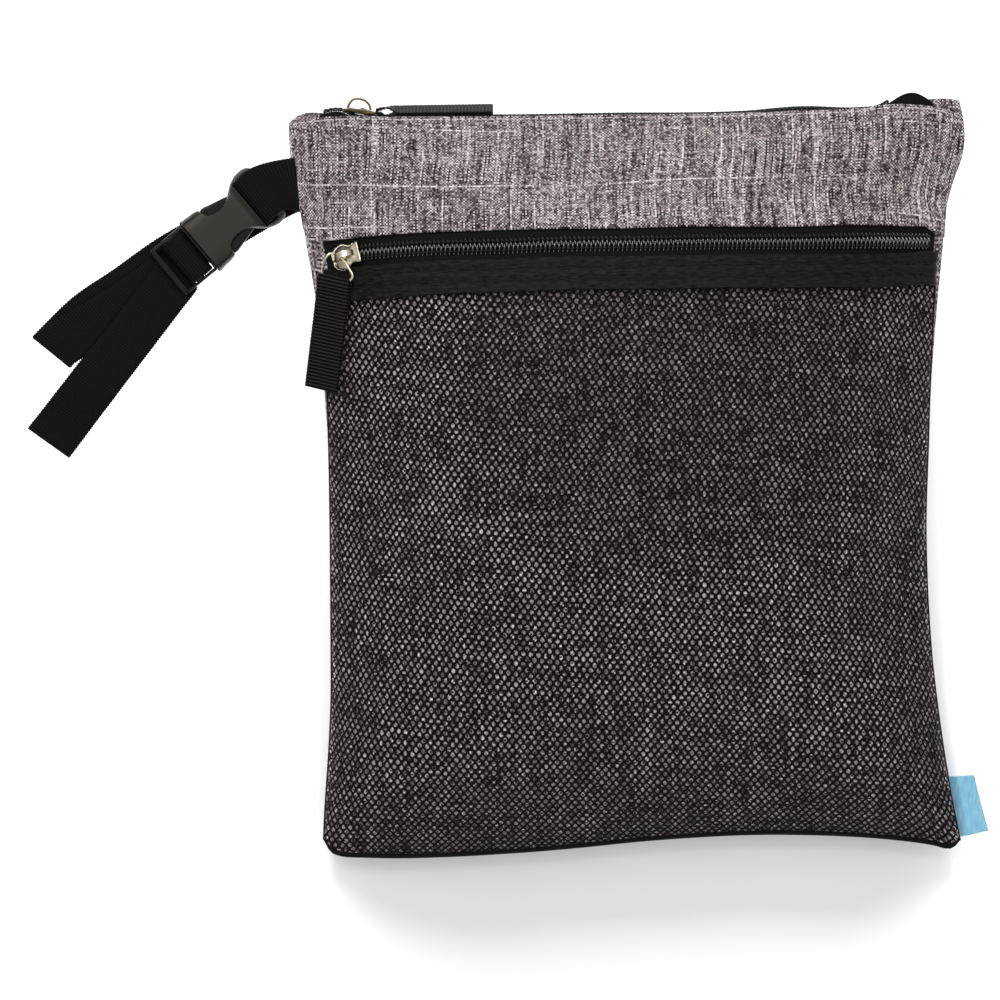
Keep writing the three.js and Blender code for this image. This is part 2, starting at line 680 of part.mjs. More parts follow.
// The mouth's slider stands at the left end of its chain, and its tab lies to the right along the mouth.
const topU = across(TOP_PULL.x, hem.mouth(TOP_ZIP.chainStart));
const topSeat = mouthSection(topU, 0).middle.add(new THREE.Vector3(0, GAP + TOP_CHAIN.off, 0));
const topSlider = new THREE.Group();
topSlider.position.copy(topSeat);
topSlider.rotation.x = -Math.PI / 2;
bag.add(topSlider);
piece("top_zip_slider", slider(SLIDER_WIDTH.mouth), NICKEL, topSlider);

const lean = degToRad(TOP_PULL.lean);
const topSide = new THREE.Vector3(0, -Math.sin(lean), Math.cos(lean));
const topLoop = new THREE.Vector3(TOP_PULL.x + TOP_PULL.loop, hem.mouth(topU) + TOP_PULL.proud, TOP_PULL.z);
// Its wire goes back along one side of the arch, through it and along the other side.
const TOP_WAY = [
  [4.5, -5.6, WIRE_SEAT + 1.6],
  [0.6, -3.4, WIRE_SEAT + 0.6],
  [0, 0, WIRE_SEAT],
  [0.6, 3.4, WIRE_SEAT + 0.6],
  [4.5, 5.6, WIRE_SEAT + 1.6],
];
topSlider.updateMatrixWorld();
const topWay = TOP_WAY.map((stop) => topSlider.localToWorld(new THREE.Vector3(...stop)));
piece("top_pull_bail", bail(topLoop, topSide, topWay), NICKEL);
piece("top_pull_tab", tab(topLoop, new THREE.Vector3(1, 0, 0), topSide), WEB_BLACK);

// The label in the right seam

function labelRow(y, reach) {
  const inner = seam.right(y) + 1.5 * GAP;
  const z = seam.lift(y) - GAP / 2 - LABEL.thick / 2;
  const edge = (x, up) => new THREE.Vector3(x, y - (x - inner) * LABEL.slant, z + up);
  const row = (up) => [edge(inner, up), edge(inner + reach / 2, up), edge(inner + reach, up)];
  return { upper: row(LABEL.thick / 2), lower: row(-LABEL.thick / 2) };
}
const labelRows = [0, 0.5, 1].map((t) =>
  labelRow(lerp(LABEL.foot, LABEL.top, t), lerp(LABEL.footReach, LABEL.topReach, t)),
);
piece(
  "side_label",
  slab(
    labelRows.map((row) => row.upper),
    labelRows.map((row) => row.lower),
  ),
  LABEL_BLUE,
);

// The strap and its buckle

const onAxis = (distance, z) => {
  const turn = degToRad(BUCKLE.turn);
  return new THREE.Vector3(BUCKLE.x + distance * Math.cos(turn), BUCKLE.y + distance * Math.sin(turn), z);
};
const heading = (degrees) => new THREE.Vector3(Math.cos(degToRad(degrees)), Math.sin(degToRad(degrees)), 0);
const station = ({ x, y, z, across: way, half }) => ({
  middle: new THREE.Vector3(x, y, z),
  side: heading(way),
  half,
});
const acrossBuckle = heading(BUCKLE.turn + 90);

function foldStations() {
  const { x, y, across: way, low, high, steps: count } = STRAP_FOLD;
  const radius = (high - low) / 2;
  const out = heading(way + 90);
  return Array.from({ length: count + 1 }, (_, i) => {
    const angle = (Math.PI * i) / count;
    const middle = new THREE.Vector3(x, y, (low + high) / 2 - radius * Math.cos(angle));
    middle.addScaledVector(out, radius * Math.sin(angle));
    return { middle, side: heading(way), half: WEBBING.width / 2 };
  });
}

// The webbing square across the buckle, at a distance along its axis and a height.
const onBuckle = (distance, z) => ({
  middle: onAxis(distance, z),
  side: acrossBuckle,
  half: WEBBING.width / 2,
});

const strapStations = [
  ...STRAP_OUT.map(station),
  ...foldStations(),
  ...STRAP_BACK.map(station),
  ...LADDER.map((row) => onBuckle(row.along, row.z)),
  ...STRAP_TAIL.map(station),
];
piece("strap_long", band(strapStations, WEBBING.thick), WEB_BLACK);

function loopStations() {
  const { x, y, across: way, half, high, low } = LOOP_SEAM;
  const { along: place, z, radius, steps: count, clear } = LOOP_BAR;
  const turn = radius * Math.SQRT2 + GAP + WEBBING.thick / 2;
  const seamEnd = (height) => ({ middle: new THREE.Vector3(x, y, height), side: heading(way), half });
  const round = Array.from({ length: count + 1 }, (_, i) => {
    const angle = Math.PI / 2 + (Math.PI * i) / count;
    return onBuckle(place + turn * Math.cos(angle), z + turn * Math.sin(angle));
  });
  return [seamEnd(high), onBuckle(clear, z + turn), ...round, onBuckle(clear, z - turn), seamEnd(low)];
}
piece("strap_short", band(loopStations(), WEBBING.thick), WEB_BLACK);

const buckle = new THREE.Group();
buckle.position.set(BUCKLE.x, BUCKLE.y, 0);
buckle.rotation.z = degToRad(BUCKLE.turn);
bag.add(buckle);

function catchHalf() {
  const { high, earBase, earHigh, slotStart, slotHalf } = CATCH;
  const body = plate(mirrored(CATCH_BODY), BUCKLE_BASE, high);
  const ears = plate(mirrored(CATCH_EARS), earBase, earHigh);
  const pouch = box([POUCH.start, -POUCH.half, POUCH.base], [POUCH.end, POUCH.half, POUCH.base + POUCH.high]);
  const bar = LOOP_BAR.radius;
  const slot = box([slotStart, -slotHalf, 0], [LOOP_BAR.along - bar, slotHalf, BUCKLE_BASE + high + 1]);
  const thinned = (base, top) =>
    box([slotStart, -slotHalf, base], [LOOP_BAR.along + 2 * bar, slotHalf, top]);
  return cut(
    join(body, ears),
    pouch,
    slot,
    thinned(0, LOOP_BAR.z - bar),
    thinned(LOOP_BAR.z + bar, BUCKLE_BASE + high + 1),
  );
}
piece("buckle_female", catchHalf(), PLASTIC, buckle);

function plugHalf() {
  const { half, endBar, barStart, barEnd, tongue } = WINDOWS;
  const frame = plate(mirrored(FRAME), FRAME_BASE, FRAME_HIGH);
  const window = (start, end) => box([start, -half, 0], [end, half, FRAME_BASE + FRAME_HIGH + 1]);
  const prong = (sign) =>
    plate(
      [
        ...PRONG.map((row) => [row.along, sign * row.outer]),
        ...PRONG.toReversed().map((row) => [row.along, sign * row.inner]),
      ],
      FRAME_BASE,
      FRAME_HIGH,
    );
  const holed = cut(frame, window(endBar, barStart), window(barEnd, tongue));
  return join(holed, prong(1), prong(-1));
}
piece("buckle_male", plugHalf(), PLASTIC, buckle);

export default bag;
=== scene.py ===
# %% [markdown]
# # A wet and dry bag
# The bag lies on its back with its strap laid out beside it. Its solids are already made at their real
# size, and this lesson gives each of them its look: woven cloth, a net with real holes, zip coils, ribbed
# webbing and a moulded buckle. Everything is in metres in the solids' own frame: +Z up, +Y towards the
# bag's mouth, +X to the right as the front is looked at.

import math

import bpy
import numpy as np
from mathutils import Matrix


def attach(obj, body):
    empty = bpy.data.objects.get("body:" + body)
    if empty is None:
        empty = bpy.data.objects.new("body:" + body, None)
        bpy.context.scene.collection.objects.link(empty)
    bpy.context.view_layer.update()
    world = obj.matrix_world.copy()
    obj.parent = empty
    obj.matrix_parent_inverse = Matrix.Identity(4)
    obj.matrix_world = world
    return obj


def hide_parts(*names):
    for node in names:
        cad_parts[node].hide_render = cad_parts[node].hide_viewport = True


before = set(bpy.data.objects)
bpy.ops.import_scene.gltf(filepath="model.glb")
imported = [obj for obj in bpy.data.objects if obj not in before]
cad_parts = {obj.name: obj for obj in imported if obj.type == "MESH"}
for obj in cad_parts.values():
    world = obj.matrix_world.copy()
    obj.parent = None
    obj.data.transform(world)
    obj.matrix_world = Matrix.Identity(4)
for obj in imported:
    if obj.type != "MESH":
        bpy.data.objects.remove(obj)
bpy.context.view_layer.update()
bpy.ops.object.select_all(action="DESELECT")
MM = 0.001

# %% [markdown]
# ## Camera
# The photograph looks square at the bag's front, so the camera looks straight down. A long lens from far
# away keeps the bag's thick middle from looking larger than its edges.

# %% Camera
VIEW_WIDTH = 0.4082  # what the square picture takes in, at the height of the seams
VIEW_MIDDLE = (-0.0522, -0.0073)
CAMERA_HIGH = 3.0
SEAM_LEVEL = 0.02
bpy.ops.object.camera_add(location=(*VIEW_MIDDLE, CAMERA_HIGH), rotation=(0, 0, 0))
camera = bpy.context.object
camera.data.lens = camera.data.sensor_width * (CAMERA_HIGH - SEAM_LEVEL) / VIEW_WIDTH
bpy.context.scene.camera = camera
print("lens mm", round(camera.data.lens, 1))

# %% [markdown]
# ## Finishes: helpers
# Colours are picked as sRGB hex values, and shaders work in linear light, so one function turns them.
# A second function adds any node with its settings, values and links, and every finish is built with it.
# A third starts a finish with the plain values of its shader.

# %% Helpers for finishes
def linear(hex_colour):
    channels = [int(hex_colour[i : i + 2], 16) / 255 for i in (1, 3, 5)]
    return (*[c / 12.92 if c <= 0.04045 else ((c + 0.055) / 1.055) ** 2.4 for c in channels], 1.0)


def add(tree, kind, inputs=(), **settings):
    """Adds a node. An input is a value, an output, or a node, which then gives its first output."""
    node = tree.nodes.new("ShaderNode" + kind)
    for name, value in settings.items():
        setattr(node, name, value)
    for name, value in dict(inputs).items():
        if isinstance(value, bpy.types.Node):
            value = value.outputs[0]
        if isinstance(value, bpy.types.NodeSocket):
            tree.links.new(value, node.inputs[name])
        else:
            node.inputs[name].default_value = value
    return node


def start_finish(name, sockets):
    material = bpy.data.materials.new(name)
    material.use_nodes = True
    shader = material.node_tree.nodes["Principled BSDF"]
    for socket, value in sockets.items():
        shader.inputs[socket].default_value = value
    return material, material.node_tree, shader


# %% [markdown]
# ## Studio
# A white sweep of paper under a bright sky that darkens towards the horizon, so that the nickel has
# something to reflect. One large soft lamp behind the bag's mouth models the cloth. Two low strip lamps
# light the paper alone, and the bag's shadow in them is the grey that lies below the bottom seam in the
# photograph. A weak fill from the other side lights the paper too.

# %% Studio
SKY = {"strength": 0.98, "horizon": "#3a3b3d", "zenith": "#ffffff"}
SKY_RISE = (0.25, 0.95)  # sine of the height above the horizon where the sky starts and ends brightening
SOFT_LAMP = {"place": (-0.45, 1.2, 1.7), "size": (1.1, 1.1), "power": 14.0}
PAPER_LAMPS = [{"place": (x, 1.85, 0.72), "size": (0.3, 0.9), "power": 80.0} for x in (-0.42, 0.36)]
PAPER_FILL = {"place": (-0.05, -1.6, 1.1), "size": (1.2, 0.6), "power": 20.0}
PAPER = {"size": 8, "dark": "#cfcfcf", "light": "#d3d3d3"}
PAPER_CLOUDS = 3.0  # faint clouds in the paper, to the metre

bpy.ops.mesh.primitive_plane_add(size=PAPER["size"])
floor = bpy.context.object
floor.name = "paper_sweep"
paper, tree, shader = start_finish("matt_white_paper", {"Roughness": 0.95, "Specular IOR Level": 0.05})
spot = add(tree, "TexCoord").outputs["Object"]
grain = add(tree, "TexNoise", {"Vector": spot, "Scale": PAPER_CLOUDS, "Detail": 2.0})
tint = add(tree, "Mix", {0: grain, 6: linear(PAPER["dark"]), 7: linear(PAPER["light"])}, data_type="RGBA")
tree.links.new(tint.outputs[2], shader.inputs["Base Color"])
floor.data.materials.append(paper)

studio = bpy.data.worlds.new("studio")
bpy.context.scene.world = studio
studio.use_nodes = True
sky = studio.node_tree
ray = add(sky, "TexCoord").outputs["Generated"]
rise = add(sky, "SeparateXYZ", {0: ray}).outputs["Z"]
share = add(sky, "MapRange", {0: rise, 1: SKY_RISE[0], 2: SKY_RISE[1]})
tone = add(sky, "Mix", {0: share, 6: linear(SKY["horizon"]), 7: linear(SKY["zenith"])}, data_type="RGBA")
sky.links.new(tone.outputs[2], sky.nodes["Background"].inputs["Color"])
sky.nodes["Background"].inputs["Strength"].default_value = SKY["strength"]


def lamp(name, settings):
    bpy.ops.object.light_add(type="AREA", location=settings["place"])
    made = bpy.context.object
    made.name = name
    made.data.shape = "RECTANGLE"
    made.data.size, made.data.size_y = settings["size"]
    made.data.energy = settings["power"]
    made.rotation_euler = (-made.location).to_track_quat("-Z", "Y").to_euler()
    return made


lamp("soft_lamp", SOFT_LAMP)
paper_only = bpy.data.collections.new("paper_only")
paper_only.objects.link(floor)
paper_lamps = [lamp("paper_lamp", settings) for settings in PAPER_LAMPS]
for made in (*paper_lamps, lamp("paper_fill", PAPER_FILL)):
    made.light_linking.receiver_collection = paper_only
bpy.context.scene.view_settings.view_transform = "Standard"
print("studio: sky", SKY["strength"], "lamps W", SOFT_LAMP["power"], PAPER_LAMPS[0]["power"])

# %% [markdown]
# ## Heather polyester
# The bag's cloth is a plain weave of mixed grey yarns. Every yarn, up or across, has its own run of light
# and dark, which gives the streaks, and the yarns take turns on top, which gives the dots. So each point
# finds which warp and which weft it is on, gives each its own tone, and shows the one that is on top. A
# few yarns have slubs, where they are thick and light and show at every crossing, and these give the long
# pale lines. The yarns up the bag are the lighter ones. The real yarns lie about 0.4 mm apart, too fine to
# show on the yoke and the back, so there they are drawn a little coarser. Behind the net they are coarser
# still and more alike, so that each hole of the net shows one soft dot of its own tone.

# %% Heather polyester
YARN = {"open": 0.68 * MM, "behind_net": 0.9 * MM}
YARN_APART = 7.31  # steps through the noise from one yarn to the next, so that neighbours differ
YARN_LAYERS = {"tone": (0.0, 5.5), "slub": (20.0, 21.0)}  # layers of the noise for yarns up and across
# for the yarns up the bag and across it: how far each keeps its tone, the noise values between which the
# tone runs, and its darkest and lightest share
HEATHER_YARNS = {
    "open": ((30 * MM, 0.34, 0.64, 0.27, 0.97), (24 * MM, 0.42, 0.72, 0.05, 0.75)),
    "behind_net": ((26 * MM, 0.34, 0.64, 0.22, 0.9), (20 * MM, 0.38, 0.68, 0.16, 0.84)),
}
# for the yarns up and across: the share of them that have slubs, and how far a slub runs
SLUBS = ((0.16, 32 * MM), (0.08, 90 * MM))
SLUB_TONE = {"open": 0.77, "behind_net": 0.62}
SLUB_EASE = (0.4, 0.64)  # the noise values between which a slub comes up to its tone
# how far the tone of a dot may be below and above that of its yarn
HEATHER_UNEVEN = {"open": (-0.28, 0.25), "behind_net": (-0.2, 0.2)}
HEATHER_TONES = ((0.0, "#120e0f"), (0.3, "#453c3e"), (0.5, "#877b7f"), (0.7, "#c6babe"), (1.0, "#fffaf8"))
HEATHER_BUMP = {"Strength": 0.55, "Distance": 0.16 * MM}


def heather_polyester(where):
    material, tree, shader = start_finish(
        "heather_polyester_" + where, {"Roughness": 0.9, "Specular IOR Level": 0.08}
    )
    flat = add(tree, "SeparateXYZ", {0: add(tree, "UVMap", uv_map="cloth")}).outputs
    numbers, tones, slubs, crowns = [], [], [], []
    for side, (keeps, start, end, darkest, lightest) in enumerate(HEATHER_YARNS[where]):
        run = flat[1 - side]
        slub_share, slub_run = SLUBS[side]
        lane = add(tree, "Math", {0: flat[side], 1: 1 / YARN[where]}, operation="MULTIPLY")
        number = add(tree, "Math", {0: lane}, operation="FLOOR")
        apart = add(tree, "Math", {0: number, 1: YARN_APART}, operation="MULTIPLY")
        reach = add(tree, "Math", {0: run, 1: 1 / keeps}, operation="MULTIPLY")
        spot = add(tree, "CombineXYZ", {0: apart, 1: reach, 2: YARN_LAYERS["tone"][side]})
        tone = add(tree, "TexNoise", {"Vector": spot, "Scale": 1.0, "Detail": 4.0, "Roughness": 0.65})
        spread = add(tree, "MapRange", {0: tone, 1: start, 2: end, 3: darkest, 4: lightest})
        lot = add(tree, "TexWhiteNoise", {"W": number}, noise_dimensions="1D")
        drawn = add(tree, "Math", {0: lot, 1: slub_share}, operation="LESS_THAN")
        reach = add(tree, "Math", {0: run, 1: 1 / slub_run}, operation="MULTIPLY")
        spot = add(tree, "CombineXYZ", {0: apart, 1: reach, 2: YARN_LAYERS["slub"][side]})
        thick = add(tree, "TexNoise", {"Vector": spot, "Scale": 1.0, "Detail": 0.0})
        lift = add(tree, "MapRange", {0: thick, 1: SLUB_EASE[0], 2: SLUB_EASE[1], 4: SLUB_TONE[where]})
        wave = add(tree, "Math", {0: lane, 1: math.pi}, operation="MULTIPLY")
        swing = add(tree, "Math", {0: wave}, operation="SINE")
        numbers.append(number)
        tones.append(spread)
        slubs.append(add(tree, "Math", {0: drawn, 1: lift}, operation="MULTIPLY"))
        crowns.append(add(tree, "Math", {0: swing}, operation="ABSOLUTE"))
    count = add(tree, "Math", {0: numbers[0], 1: numbers[1]}, operation="ADD")
    turn = add(tree, "Math", {0: count, 1: 1.0}, operation="PINGPONG")
    shown = add(tree, "Mix", {0: turn, 2: tones[0], 3: tones[1]})
    for slub in slubs:
        shown = add(tree, "Math", {0: shown, 1: slub}, operation="MAXIMUM")
    cell = add(tree, "CombineXYZ", {0: numbers[0], 1: numbers[1]})
    dot = add(tree, "TexWhiteNoise", {"Vector": cell}, noise_dimensions="2D")
    below, above = HEATHER_UNEVEN[where]
    uneven = add(tree, "MapRange", {0: dot, 3: below, 4: above})
    dotted = add(tree, "Math", {0: shown, 1: uneven}, operation="ADD")
    ramp = add(tree, "ValToRGB", {0: dotted})
    stops = ramp.color_ramp.elements
    while len(stops) < len(HEATHER_TONES):
        stops.new(0.5)
    for stop, (position, colour) in zip(stops, HEATHER_TONES):
        stop.position = position
        stop.color = linear(colour)
    height = add(tree, "Mix", {0: turn, 2: crowns[0], 3: crowns[1]})
    bump = add(tree, "Bump", {"Height": height, **HEATHER_BUMP})
    tree.links.new(ramp.outputs[0], shader.inputs["Base Color"])
    tree.links.new(bump.outputs[0], shader.inputs["Normal"])
    return material


HEATHER = heather_polyester("open")
HEATHER_BEHIND_NET = heather_polyester("behind_net")
print("finishes", HEATHER.name, HEATHER_BEHIND_NET.name)

# %% [markdown]
# ## Black threads, tapes and webbing
# All the black textiles are spun or knitted polyester. They differ in how their yarns run, so one recipe
# gives them a base tone, a fleck stretched along the yarn and a matching bump, with its own sizes each.
# Webbing has ribs too, and its tone is painted lighter on their crests and darker between them: painted
# highlight and painted shade, in step with the ribs of its mesh.

# %% Black textiles
FLECK_RANGE = (0.3, 0.7)  # the noise values between which a fleck goes from dark to light
# the ribs' painted highlight on their crests and painted shade in their grooves
PAINTED_CREST_LIGHT = 0.45  # how light the darkest fleck on a rib's crest still is
PAINTED_GROOVE_SHADE = -0.6  # the height of the ribs' wave below which they are all dark
TEXTILE_BUMP = {"Strength": 0.5, "Distance": 0.12 * MM}


def spun_textile(name, dark, light, fleck, stretch, roughness, shine, rib=None):
    material, tree, shader = start_finish(name, {"Roughness": roughness, "Specular IOR Level": shine})
    cloth = add(tree, "UVMap", uv_map="cloth")
    stretched = add(tree, "Mapping", {0: cloth, "Scale": (1 / fleck, 1 / (fleck * stretch), 1.0)})
    noise = add(tree, "TexNoise", {"Vector": stretched, "Scale": 1.0, "Detail": 2.0})
    # on ribbed webbing the tone is painted lighter on each crest and darker in each groove: painted
    # highlight and painted shade
    least = PAINTED_CREST_LIGHT if rib else 0.0
    spread = add(tree, "MapRange", {0: noise, 1: FLECK_RANGE[0], 2: FLECK_RANGE[1], 3: least})
    if rib:
        length = add(tree, "SeparateXYZ", {0: cloth}).outputs["Y"]
        turn = add(tree, "Math", {0: length, 1: 2 * math.pi / rib}, operation="MULTIPLY")
        wave = add(tree, "Math", {0: turn}, operation="COSINE")
        crest = add(tree, "MapRange", {0: wave, 1: PAINTED_GROOVE_SHADE, 2: 1.0})
        spread = add(tree, "Math", {0: crest, 1: spread}, operation="MULTIPLY")
    tint = add(tree, "Mix", {0: spread, 6: linear(dark), 7: linear(light)}, data_type="RGBA")
    bump = add(tree, "Bump", {"Height": noise, **TEXTILE_BUMP})
    tree.links.new(tint.outputs[2], shader.inputs["Base Color"])
    tree.links.new(bump.outputs[0], shader.inputs["Normal"])
    return material


NET_YARN = spun_textile("black_knitted_net", "#060505", "#141213", 0.9 * MM, 1.0, 0.6, 0.12)
RIBBON = spun_textile("black_binding_ribbon", "#040404", "#2a2826", 4 * MM, 0.16, 0.55, 0.09)
ZIP_TAPE = spun_textile("black_zip_tape", "#0b0b0b", "#181717", 0.7 * MM, 2.5, 0.7, 0.1)
STRAP_RIB = 1.1 * MM
TAB_RIB = 1.4 * MM
# both webbings carry painted highlight on their rib crests and painted shade between them, the tabs' the
# stronger
WEBBING = spun_textile("black_strap_webbing", "#090909", "#1f1e1e", 2.2 * MM, 0.2, 0.6, 0.06, STRAP_RIB)
TAB_WEBBING = spun_textile("black_ribbed_webbing", "#030303", "#383634", 2.2 * MM, 0.2, 0.6, 0.06, TAB_RIB)
BLACK_THREAD = spun_textile("black_sewing_thread", "#0a0a0a", "#1a1919", 0.5 * MM, 1.0, 0.5, 0.3)
GREY_THREAD = spun_textile("light_grey_sewing_thread", "#d6cfcf", "#fbf6f5", 0.8 * MM, 1.0, 0.7, 0.2)
print("finishes", NET_YARN.name, RIBBON.name, ZIP_TAPE.name, WEBBING.name)

# %% [markdown]
# ## Hard finishes and the label
# The coils are drawn nylon, smooth with a soft shine. Sliders and bails are zinc under polished nickel,
# which shows small waves from the plating. The mouth's slider gets a darker copy of the nickel, which is
# painted shade. The buckle is acetal from a spark-eroded mould, satin with a fine grain. Its plug half
# gets a darker copy of the acetal, which is painted shade. The label is a light blue satin ribbon with its
# threads along it.

# %% Hard finishes and the label
COIL_SHINE = {
    "Roughness": 0.2,
    "Specular IOR Level": 1.0,
    "Coat Weight": 1.0,
    "Coat IOR": 1.9,
    "Coat Roughness": 0.1,
}
NICKEL_POLISH = {"Roughness": 0.1, "Metallic": 1.0}
# settings of the darker nickel copy, whose darkness is painted shade
NICKEL_IN_SHADE = {"Roughness": 0.3, "Metallic": 1.0}
ACETAL_SATIN = {"Roughness": 0.36, "IOR": 1.47, "Specular Tint": (1.0, 0.96, 0.9, 1.0)}
# settings of the darker acetal copy, whose darkness is painted shade
ACETAL_IN_SHADE = {"Roughness": 0.3, "Specular IOR Level": 0.2}
GRAIN_STRENGTH = 0.5


def grained(name, sockets, dark, light, grain, bump_high):
    material, tree, shader = start_finish(name, sockets)
    spot = add(tree, "TexCoord").outputs["Object"]
    noise = add(tree, "TexNoise", {"Vector": spot, "Scale": 1 / grain, "Detail": 3.0})
    tint = add(tree, "Mix", {0: noise, 6: linear(dark), 7: linear(light)}, data_type="RGBA")
    bump = add(tree, "Bump", {"Height": noise, "Strength": GRAIN_STRENGTH, "Distance": bump_high})
    tree.links.new(tint.outputs[2], shader.inputs["Base Color"])
    tree.links.new(bump.outputs[0], shader.inputs["Normal"])
    return material


NYLON_COIL = grained("black_nylon_coil", COIL_SHINE, "#050505", "#0b0a0a", 1.5 * MM, 0.02 * MM)
NICKEL = grained("polished_nickel_plate", NICKEL_POLISH, "#cabfa4", "#f4ecd8", 2 * MM, 0.3 * MM)
# a darker copy of the nickel for the mouth's slider: painted shade
NICKEL_PAINTED_SHADE = grained("nickel_plate_painted_shade", NICKEL_IN_SHADE, "#4d4531", "#7d7253", 2 * MM, 0.1 * MM)
ACETAL = grained("moulded_black_acetal", ACETAL_SATIN, "#100d0a", "#15110e", 0.5 * MM, 0.03 * MM)
# a darker copy of the same acetal for the plug half: painted shade
ACETAL_PAINTED_SHADE = grained("black_acetal_painted_shade", ACETAL_IN_SHADE, "#080707", "#0d0b0a", 0.5 * MM, 0.02 * MM)
LABEL_SATIN = spun_textile("light_blue_satin_ribbon", "#86cbf0", "#a8e3fd", 1.2 * MM, 4.0, 0.45, 0.3)
print("finishes", NYLON_COIL.name, NICKEL.name, ACETAL.name, LABEL_SATIN.name)

# %% [markdown]
# ## The bag's form
# A place on the bag is given by u, from the left seam to the right, and v, from the bottom seam to the
# mouth. Short tables give the seams, the hems and the rise of the front, and smooth curves run through
# them. A skin then gives a point at any height out from the front or the back, so that every layer of
# cloth can lie on the one below it. Lengths from here on are millimetres until a mesh is placed.

# %% Curves and tables
def mix(start, end, share):
    return start + (end - start) * share


def smooth(t, start, end):
    share = np.clip((t - start) / (end - start), 0, 1)
    return share * share * (3 - 2 * share)


def unit(vectors):
    return vectors / np.linalg.norm(vectors, axis=-1, keepdims=True)


def curve(rows, column):
    """A smooth curve through one column of a table, read at a value of its first column."""
    at, values = np.array([(row[0], row[column]) for row in rows], float).T
    secants = np.diff(values) / np.diff(at)
    slopes = np.concatenate([secants[:1], (secants[1:] + secants[:-1]) / 2, secants[-1:]])

    def read(t):
        t = np.clip(t, at[0], at[-1])
        i = np.clip(np.searchsorted(at, t, side="right") - 1, 0, len(at) - 2)
        span = at[i + 1] - at[i]
        p = (t - at[i]) / span
        leave = slopes[i] * p * (1 - p) ** 2
        reach = slopes[i + 1] * p * p * (p - 1)
        return mix(values[i], values[i + 1], p * p * (3 - 2 * p)) + span * (leave + reach)

    return read


# y, left, right, lift above the floor
SIDE_SEAMS = (
    (-152, -125, 137.8, 7),
    (-130, -123.8, 133.2, 10),
    (-109, -122.3, 129.5, 13),
    (-89, -121.3, 126.6, 14.8),
    (-68, -121.2, 124.2, 16.1),
    (-20, -121.6, 122, 17),
    (13, -122.5, 122.9, 16.8),
    (34, -123.8, 123.7, 16.3),
    (74, -127.6, 126.8, 14.2),
    (95, -131.2, 129, 12.3),
    (107, -133.3, 130, 11.1),
    (115, -135.2, 131.3, 10.1),
    (124, -137, 133.9, 9.1),
    (132, -138, 136.9, 8.3),
    (140, -138.7, 138.3, 7.6),
    (150, -139, 137.7, 6.7),
    (158, -139, 135.8, 6.2),
)
# share across, bottom seam, mouth, mouth of the back
HEMS = (
    (0, -146.4, 146.9, 147.2),
    (0.012, -149.6, 148.3, 150.2),
    (0.03, -151.4, 149, 151.6),
    (0.075, -152.4, 149.9, 150.9),
    (0.15, -152.6, 149.7, 150.2),
    (0.31, -150.5, 149.8, 150.2),
    (0.4, -148.5, 150.05, 150.4),
    (0.49, -146.1, 150.45, 150.7),
    (0.58, -144.3, 150.65, 151.2),
    (0.67, -143.2, 151.15, 152.1),
    (0.758, -143.2, 152.05, 153),
    (0.84, -144, 153, 153.9),
    (0.877, -144.7, 154.2, 154.5),
    (0.905, -145.4, 154.9, 155.1),
    (0.92, -145.8, 154.75, 155.5),
    (0.96, -147.2, 153.8, 157.3),
    (0.985, -148.4, 151.8, 157.3),
    (1, -146.6, 150.4, 156.6),
)
# share along, the front's rise above the side seams
FRONT_RISE = (
    (0, 1),
    (0.02, 9),
    (0.06, 19),
    (0.13, 29),
    (0.25, 37),
    (0.45, 42),
    (0.6, 41),
    (0.75, 36.5),
    (0.84, 31),
    (0.92, 20.5),
    (1, 8),
)
left_seam, right_seam, seam_lift = (curve(SIDE_SEAMS, column) for column in (1, 2, 3))
bottom, mouth, back_mouth = (curve(HEMS, column) for column in (1, 2, 3))
front_rise = curve(FRONT_RISE, 1)
print("bag width at mid height, mm", round(float(right_seam(0) - left_seam(0)), 1))

# %% Front and back skins
GAP = 0.3
SHOULDER = {"foot": 9, "body": 3, "mouth": 9, "foot_end": 0.3, "mouth_start": 0.85}
BACK_FLAT = 0.4
BACK_TURN = 4
BACK_FOOT = 0.1
MOUTH_LIP = {"rise": 1.5, "start": 0.93, "end": 1.01}
SEAM_TURN = {"side": 0.05, "foot": 0.035, "most": 1.6}
SEAM_PRESS = {"share": 0.1, "wide": 0.022}  # how flat the layers are pressed at a side seam, and how far in
STEP = 0.004


def plan(u, v):
    y = mix(bottom(u), mouth(u), v)
    return mix(left_seam(y), right_seam(y), u), y


def along(u, y):
    return (y - bottom(u)) / (mouth(u) - bottom(u))


def crown(u, v):
    foot = mix(SHOULDER["foot"], SHOULDER["body"], smooth(v, 0, SHOULDER["foot_end"]))
    square = mix(foot, SHOULDER["mouth"], smooth(v, SHOULDER["mouth_start"], 1))
    return 1 - np.abs(2 * u - 1) ** square


def front_height(u, v):
    return seam_lift(plan(u, v)[1]) + GAP / 2 + front_rise(v) * crown(u, v)


def back_height(u, v):
    side = np.maximum(0, (np.abs(2 * u - 1) - BACK_FLAT) / (1 - BACK_FLAT)) ** BACK_TURN
    foot = np.maximum(0, 1 - v / BACK_FOOT) ** 2
    turned = 1 - (1 - side) * (1 - foot)
    lip = MOUTH_LIP["rise"] * smooth(v, MOUTH_LIP["start"], MOUTH_LIP["end"]) * (1 - side)
    return (seam_lift(plan(u, v)[1]) - GAP / 2) * turned + front_rise(0) * crown(u, 0) * foot + lip


